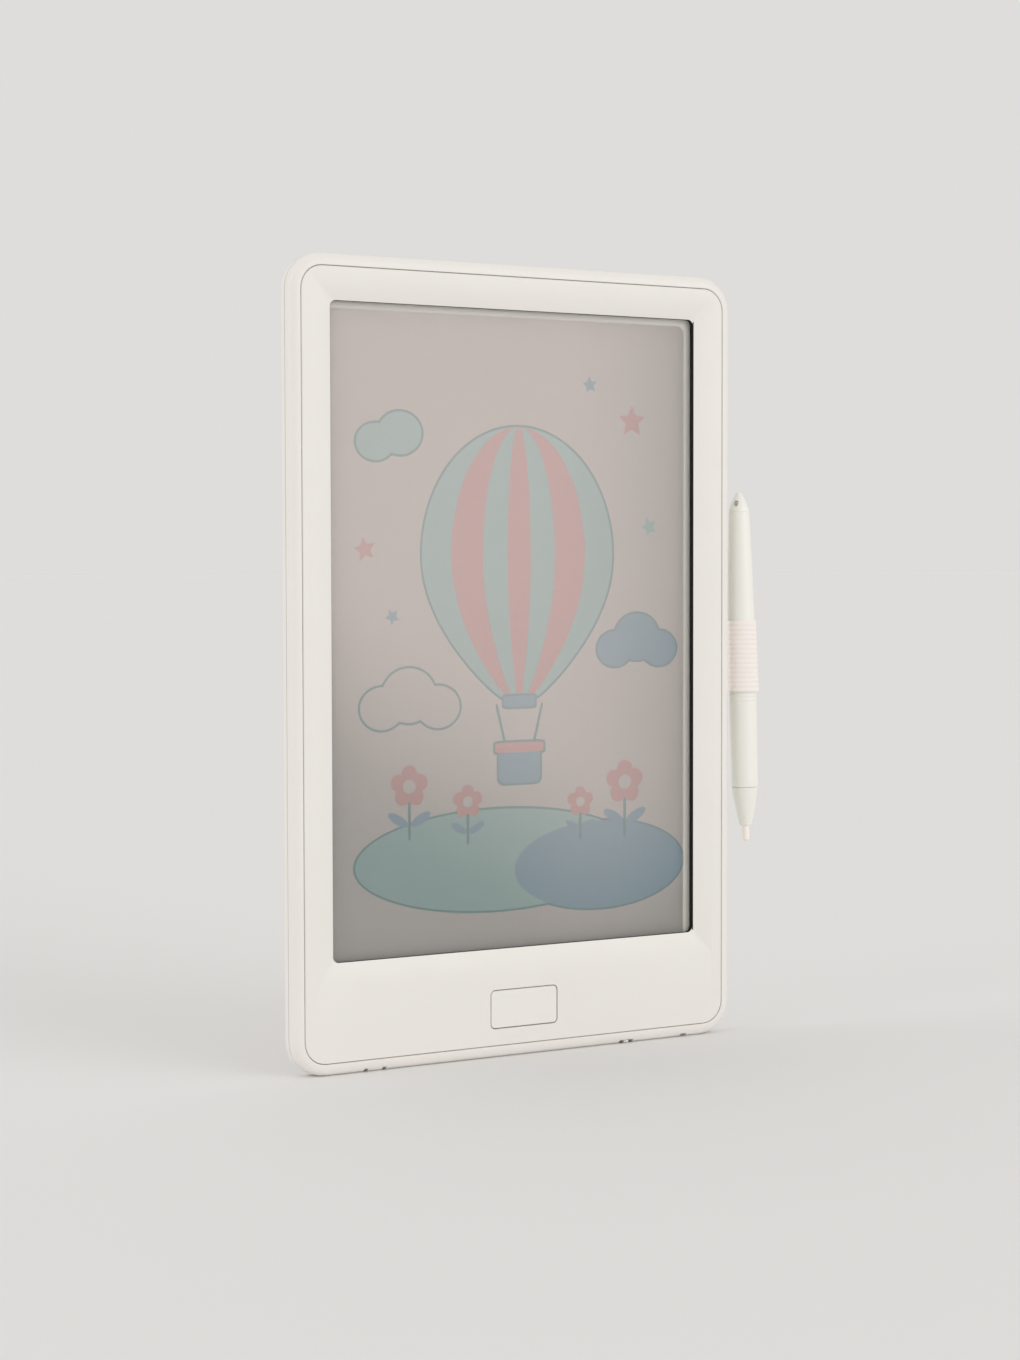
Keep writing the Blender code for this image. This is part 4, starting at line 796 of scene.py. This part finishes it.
STARS = (
    ("star", 47, 214, 5.5, 5.5, 0, PINK), ("star", -56, 170, 4.2, 4.2, 12, PINK),
    ("star", 54, 178, 3.6, 3.6, 20, TEAL), ("star", -46, 148, 2.8, 2.8, 30, BLUE),
    ("star", 30, 226, 3.0, 3.0, 8, BLUE))
PICTURE = (
    (True, HILLS), (True, BALLOON), (False, STRIPES), (False, ROPES), (True, BASKET), (True, PALE_CLOUD),
    (True, BLUE_CLOUD), (True, TEAL_CLOUD), (False, STARS))

# Flowers as (x, z, size), and their parts as shares of that size, with the stem's half width in millimetres
FLOWERS = ((-40, 92, 5.2), (-18, 86, 4.2), (44, 90, 5.6), (26, 84, 3.8))
LEAF_REACH, LEAF_DROP, LEAF_LONG, LEAF_THICK, LEAF_TURN = 0.8, 2.1, 0.8, 0.3, 30
STEM_DROP, STEM_LONG, STEM_THICK = 1.8, 1.6, 0.5
PETALS, PETAL_REACH, PETAL_RADIUS = 5, 0.8, 0.55
FLOWER_MIDDLE = 0.45

# Stamps, one unit in radius
DISC_SIDES = 72
BAR_CORNER, BAR_CORNER_STEPS = 0.35, 6
STAR_SIDES, STAR_INNER = 10, 0.48
DROP_WAIST, DROP_STRETCH = 0.42, 1.16


def stamp(kind):
    """A flat shape one unit in radius, in a bmesh of its own, facing up."""
    bm = bmesh.new()
    if kind == "bar":
        bmesh.ops.create_grid(bm, x_segments=1, y_segments=1, size=1.0)
        bmesh.ops.bevel(
            bm, geom=list(bm.verts), offset=BAR_CORNER, offset_type="OFFSET", affect="VERTICES",
            segments=BAR_CORNER_STEPS, profile=0.5, material=-1)
        return bm
    sides = STAR_SIDES if kind == "star" else DISC_SIDES
    bmesh.ops.create_circle(bm, cap_ends=True, segments=sides, radius=1.0)
    for number, vert in enumerate(bm.verts):
        if kind == "star" and number % 2:
            vert.co *= STAR_INNER
        if kind == "drop" and vert.co.y < 0:
            vert.co.x *= 1 - DROP_WAIST * vert.co.y ** 2
            vert.co.y *= DROP_STRETCH
    return bm


def print_shape(target, shape, ink, grow, level):
    """Prints one shape on the card's front, as a skin of ink."""
    kind, x, z, wide, tall, turn, _ = shape
    bm = stamp(kind)
    bmesh.ops.scale(bm, vec=((wide + grow) * MM, (tall + grow) * MM, 1.0), verts=bm.verts)
    swelled = bmesh.ops.extrude_face_region(bm, geom=list(bm.faces), use_keep_orig=True)
    lifted = [item for item in swelled["geom"] if isinstance(item, bmesh.types.BMVert)]
    bmesh.ops.translate(bm, vec=(0.0, 0.0, level * INK_STEP), verts=lifted)
    place = (
        Matrix.Translation(Vector((x * MM, CARD_FRONT, z * MM)))
        @ Matrix.Rotation(math.pi / 2, 4, "X") @ Matrix.Rotation(math.radians(turn), 4, "Z"))
    bmesh.ops.transform(bm, matrix=place, verts=bm.verts)
    bmesh.ops.recalc_face_normals(bm, faces=bm.faces)
    for face in bm.faces:
        face.material_index = ink
    mesh = bpy.data.meshes.new("ink")
    bm.to_mesh(mesh)
    bm.free()
    target.from_mesh(mesh)
    bpy.data.meshes.remove(mesh)


def flower_shapes(x, z, size):
    """A round flower: leaves, a stem, petals and a middle."""
    leaves = ((-1, 180 - LEAF_TURN), (1, LEAF_TURN))
    long, thick = size * LEAF_LONG, size * LEAF_THICK
    shapes = [("disc", x + side * size * LEAF_REACH, z - size * LEAF_DROP, long, thick, turn, BLUE)
              for side, turn in leaves]
    shapes.append(("bar", x, z - size * STEM_DROP, STEM_THICK, size * STEM_LONG, 0, LINE))
    for number in range(PETALS):
        angle = math.tau * number / PETALS + math.pi / 2
        across, up = size * PETAL_REACH * math.cos(angle), size * PETAL_REACH * math.sin(angle)
        shapes.append(("disc", x + across, z + up, size * PETAL_RADIUS, size * PETAL_RADIUS, 0, PINK))
    shapes.append(("disc", x, z, size * FLOWER_MIDDLE, size * FLOWER_MIDDLE, 0, PALE))
    return shapes


def picture_mesh():
    """All the card's ink, painted from the back to the front."""
    target = bmesh.new()
    level = 1
    groups = [*PICTURE, *((False, flower_shapes(*flower)) for flower in FLOWERS)]
    for outlined, shapes in groups:
        if outlined:
            for shape in shapes:
                print_shape(target, shape, LINE, LINE_WIDTH, level)
            level += 1
        for shape in shapes:
            print_shape(target, shape, shape[-1], 0.0, level)
            level += 1
    return mesh_of("card_ink", target)


# Stage

CAMERA_PLACE = Vector((-0.4315, -0.7425, 0.1642))
CAMERA_YAW = math.radians(30.02)
CAMERA_PITCH = math.radians(2.53)
CAMERA_ROLL = math.radians(-0.123)
CAMERA_SENSOR = 36.0
CAMERA_NEAR, CAMERA_FAR = 0.01, 200.0
FLOOR_SIZE = 60.0
FLOOR_CELLS = 8
LIGHTS = (
    ("key", (math.radians(82.0), 0.0, math.radians(28.0)), math.radians(55.0)),
    ("side", (math.radians(78.0), 0.0, math.radians(-98.0)), math.radians(60.0)),
)


def make_camera(choices):
    """The photograph's viewing angle, from two rectangles of the tablet's front."""
    forward = Vector((
        math.sin(CAMERA_YAW) * math.cos(CAMERA_PITCH), math.cos(CAMERA_YAW) * math.cos(CAMERA_PITCH),
        -math.sin(CAMERA_PITCH)))
    level = Vector((math.cos(CAMERA_YAW), -math.sin(CAMERA_YAW), 0.0))
    upright = level.cross(forward)
    right = level * math.cos(CAMERA_ROLL) + upright * math.sin(CAMERA_ROLL)
    up = upright * math.cos(CAMERA_ROLL) - level * math.sin(CAMERA_ROLL)
    data = bpy.data.cameras.new("camera")
    data.lens = choices.lens
    data.sensor_width = CAMERA_SENSOR
    data.clip_start = CAMERA_NEAR
    data.clip_end = CAMERA_FAR
    camera = link_to_scene("camera", data)
    turn = Matrix((right, up, -forward)).transposed().to_4x4()
    camera.matrix_world = Matrix.Translation(CAMERA_PLACE) @ turn
    bpy.context.scene.camera = camera


def floor_paint(choices):
    """Matt painted board with a barely uneven tone. Seen from below it lets the view through."""
    material, shader = new_material("matt_painted_board", choices.floor, roughness=0.85, ior=1.4)
    drift(material, shader, object_place(material), choices.floor, shade_of(choices.floor, 0.01), size=0.9)
    tree = material.node_tree
    side = add_node(material, "ShaderNodeNewGeometry").outputs["Backfacing"]
    clear = add_node(material, "ShaderNodeBsdfTransparent").outputs["BSDF"]
    both = add_node(material, "ShaderNodeMixShader", {0: side, 1: shader.outputs["BSDF"], 2: clear})
    tree.links.new(both.outputs["Shader"], tree.nodes["Material Output"].inputs["Surface"])
    return material


def make_stage(choices):
    """The camera, the floor, the even studio surroundings and two soft lights."""
    make_camera(choices)
    bm = bmesh.new()
    bmesh.ops.create_grid(bm, x_segments=FLOOR_CELLS, y_segments=FLOOR_CELLS, size=FLOOR_SIZE)
    floor = link_to_scene("floor", mesh_of("floor", bm))
    floor.data.materials.append(floor_paint(choices))
    world = bpy.data.worlds.new("studio")
    world.use_nodes = True
    world.node_tree.nodes["Background"].inputs["Color"].default_value = choices.air
    bpy.context.scene.world = world
    bpy.context.scene.view_settings.view_transform = "Standard"
    strengths = {"key": choices.key_strength, "side": choices.side_strength}
    for name, turn, softness in LIGHTS:
        lamp = bpy.data.lights.new(name, "SUN")
        lamp.energy = strengths[name]
        lamp.angle = softness
        link_to_scene(name, lamp).rotation_euler = turn


# Operators

class TABLET_OT_stage(bpy.types.Operator):
    """Makes the camera, the floor and the lights"""

    bl_idname = "tablet.stage"
    bl_label = "Stage"

    def execute(self, context):
        make_stage(context.scene.tablet_stage)
        return {"FINISHED"}


class TABLET_OT_case(bpy.types.Operator):
    """Makes the rim, the front plate, the back, the erase key, the lock slider and the battery tray"""

    bl_idname = "tablet.case"
    bl_label = "Case"

    def execute(self, context):
        choices = context.scene.tablet_case
        shell = moulded_plastic("moulded_abs_shell", choices.shell, roughness=0.44)
        plate = moulded_plastic("moulded_abs_plate", choices.plate, roughness=0.42)
        keys = moulded_plastic("moulded_abs_keys", choices.button, roughness=0.38)
        rows = (
            ("case_frame", "rim_moulding", shell, "tablet", "case_plastic", choices.fillet),
            ("rear_cover", "back_moulding", shell, "tablet", "case_plastic", choices.fillet),
            ("front_plate", "plate_moulding", plate, "tablet", "plate_plastic", choices.fillet),
            ("erase_button", "erase_key_moulding", keys, "erase_key", "button_plastic", choices.fillet / 2),
            ("lock_slider", "lock_moulding", keys, "lock", "button_plastic", choices.fillet / 2),
            ("battery_tray", "tray_moulding", shell, "battery_drawer", "case_plastic", choices.fillet),
        )
        pieces = {row[0]: softened(*row) for row in rows}
        black_edge(pieces["front_plate"], closed_cell_foam("black_window_edge", linear("#0B0B0C")))
        return {"FINISHED"}


class TABLET_OT_screen(bpy.types.Operator):
    """Makes the film, its foam, the clear sheet and the picture card"""

    bl_idname = "tablet.screen"
    bl_label = "Screen"

    def execute(self, context):
        choices = context.scene.tablet_screen
        dress("screen_gasket", closed_cell_foam("black_eva_foam", linear("#0E0E10")))
        dress("lcd_film", writing_film("milky_writing_film", choices))
        dress("clear_sheet", clear_sheet_plastic("clear_pet_sheet"))
        dress("picture_card", printed_stock("coated_card", choices.card))
        inks = [printed_stock(name, colour) for name, colour in (
            ("teal_ink", choices.teal), ("pink_ink", choices.pink), ("blue_ink", choices.blue),
            ("line_ink", choices.line), ("pale_ink", shade_of(choices.card, 0.02)))]
        ink = link_to_scene("card_ink", picture_mesh())
        new_piece(ink, inks, "card", [])
        return {"FINISHED"}


class TABLET_OT_stylus(bpy.types.Operator):
    """Makes the barrel, the cone and the writing point"""

    bl_idname = "tablet.stylus"
    bl_label = "Stylus"

    def execute(self, context):
        choices = context.scene.tablet_stylus
        plastic = moulded_plastic("moulded_abs_stylus", choices.plastic, roughness=0.34, depth=0.004 * MM)
        acetal = moulded_plastic("turned_acetal", choices.point, roughness=0.3, depth=0.003 * MM, ior=1.48)
        barrel = barrel_mesh(choices)
        cone = mesh_of("stylus_cone_moulding", turned(cone_outline(), choices.sides))
        point = mesh_of("stylus_point", turned(point_outline(), choices.sides // 2))
        rows = (
            (barrel, plastic, "stylus_barrel", "stylus_plastic"),
            (cone, plastic, "stylus_cone", "stylus_plastic"),
            (point, acetal, "stylus_nib", "nib_plastic"),
        )
        for mesh, material, node, slot in rows:
            mesh.transform(STYLUS_PLACE)
            piece = link_to_scene(mesh.name, mesh)
            even_flats(piece)
            new_piece(piece, [material], "stylus", [node])
        return {"FINISHED"}


class TABLET_OT_elastic(bpy.types.Operator):
    """Makes the ribbed elastic round the stylus"""

    bl_idname = "tablet.elastic"
    bl_label = "Elastic"

    def execute(self, context):
        choices = context.scene.tablet_elastic
        mesh, length = elastic_mesh(choices)
        material = braided_elastic("braided_elastic", choices, length, LOOP_WIDTH)
        band = link_to_scene("elastic_band", mesh)
        new_piece(band, [material], "tablet", ["elastic_loop"])
        return {"FINISHED"}


class TABLET_OT_electronics(bpy.types.Operator):
    """Dresses the board, what is soldered to it, the cell and its contacts"""

    bl_idname = "tablet.electronics"
    bl_label = "Electronics"

    def execute(self, context):
        black = moulded_plastic("black_nylon", linear("#202022"), roughness=0.5, depth=0.01 * MM)
        epoxy = moulded_plastic("black_epoxy", linear("#17171A"), roughness=0.42, grain=0.15 * MM)
        ivory = moulded_plastic("ivory_nylon", linear("#E2DAC6"), roughness=0.5)
        tan = moulded_plastic("tan_ceramic", linear("#A98C6C"), roughness=0.45, grain=0.2 * MM)
        steel = plated_steel("nickel_plated_steel", linear("#C4C2BE"), roughness=0.3)
        can = plated_steel("pressed_stainless_can", linear("#CBC9C5"), roughness=0.24, scratch=(1.0, 1.0, 22.0))
        for node in ("loop_anchor", "switch_lever"):
            dress(node, black)
        dress("driver_chip", epoxy)
        dress("film_connector", ivory)
        dress("storage_capacitor", tan)
        dress("circuit_board", solder_masked_board("green_masked_board"))
        dress("film_tail", ribbon_film("amber_ribbon"))
        for node in ("contact_negative", "contact_positive", "slide_switch"):
            dress(node, steel)
        softened("boost_inductor", "coil_core", epoxy, "tablet", "black_plastic", fillet=0.1 * MM)
        softened("tact_switch", "key_switch", black, "tablet", "black_plastic", fillet=0.06 * MM)
        softened("coin_cell", "button_cell", can, "battery_drawer", "bright_steel", fillet=0.15 * MM)
        for screw, count in (("case_screw", 8), ("board_screw", 2)):
            for number in range(1, count + 1):
                name = f"{screw}_plated_{number}"
                softened(f"{screw}_{number}", name, steel, "tablet", "bright_steel", fillet=0.05 * MM)
        return {"FINISHED"}


OPERATORS = (
    TABLET_OT_stage, TABLET_OT_case, TABLET_OT_screen, TABLET_OT_stylus, TABLET_OT_elastic,
    TABLET_OT_electronics)
CHOICES = {
    "tablet_case": TabletCaseChoices, "tablet_screen": TabletScreenChoices, "tablet_stylus": TabletStylusChoices,
    "tablet_elastic": TabletElasticChoices, "tablet_stage": TabletStageChoices}


class TABLET_PT_panel(bpy.types.Panel):
    """Lists the pieces of the writing tablet"""

    bl_idname = "TABLET_PT_panel"
    bl_label = "Writing tablet"
    bl_space_type = "VIEW_3D"
    bl_region_type = "UI"
    bl_category = "Tablet"

    def draw(self, context):
        for operator in OPERATORS:
            self.layout.operator(operator.bl_idname)


def register():
    """Registers the choices, the operators and the panel."""
    for name, choices in CHOICES.items():
        bpy.utils.register_class(choices)
        setattr(bpy.types.Scene, name, PointerProperty(type=choices))
    for operator in (*OPERATORS, TABLET_PT_panel):
        bpy.utils.register_class(operator)


def unregister():
    """Takes out what register() put in."""
    for operator in (TABLET_PT_panel, *reversed(OPERATORS)):
        bpy.utils.unregister_class(operator)
    for name, choices in CHOICES.items():
        delattr(bpy.types.Scene, name)
        bpy.utils.unregister_class(choices)


def main():
    """Makes the whole scene."""
    register()
    for operator in OPERATORS:
        group, name = operator.bl_idname.split(".")
        getattr(getattr(bpy.ops, group), name)()


if __name__ == "__main__":
    main()
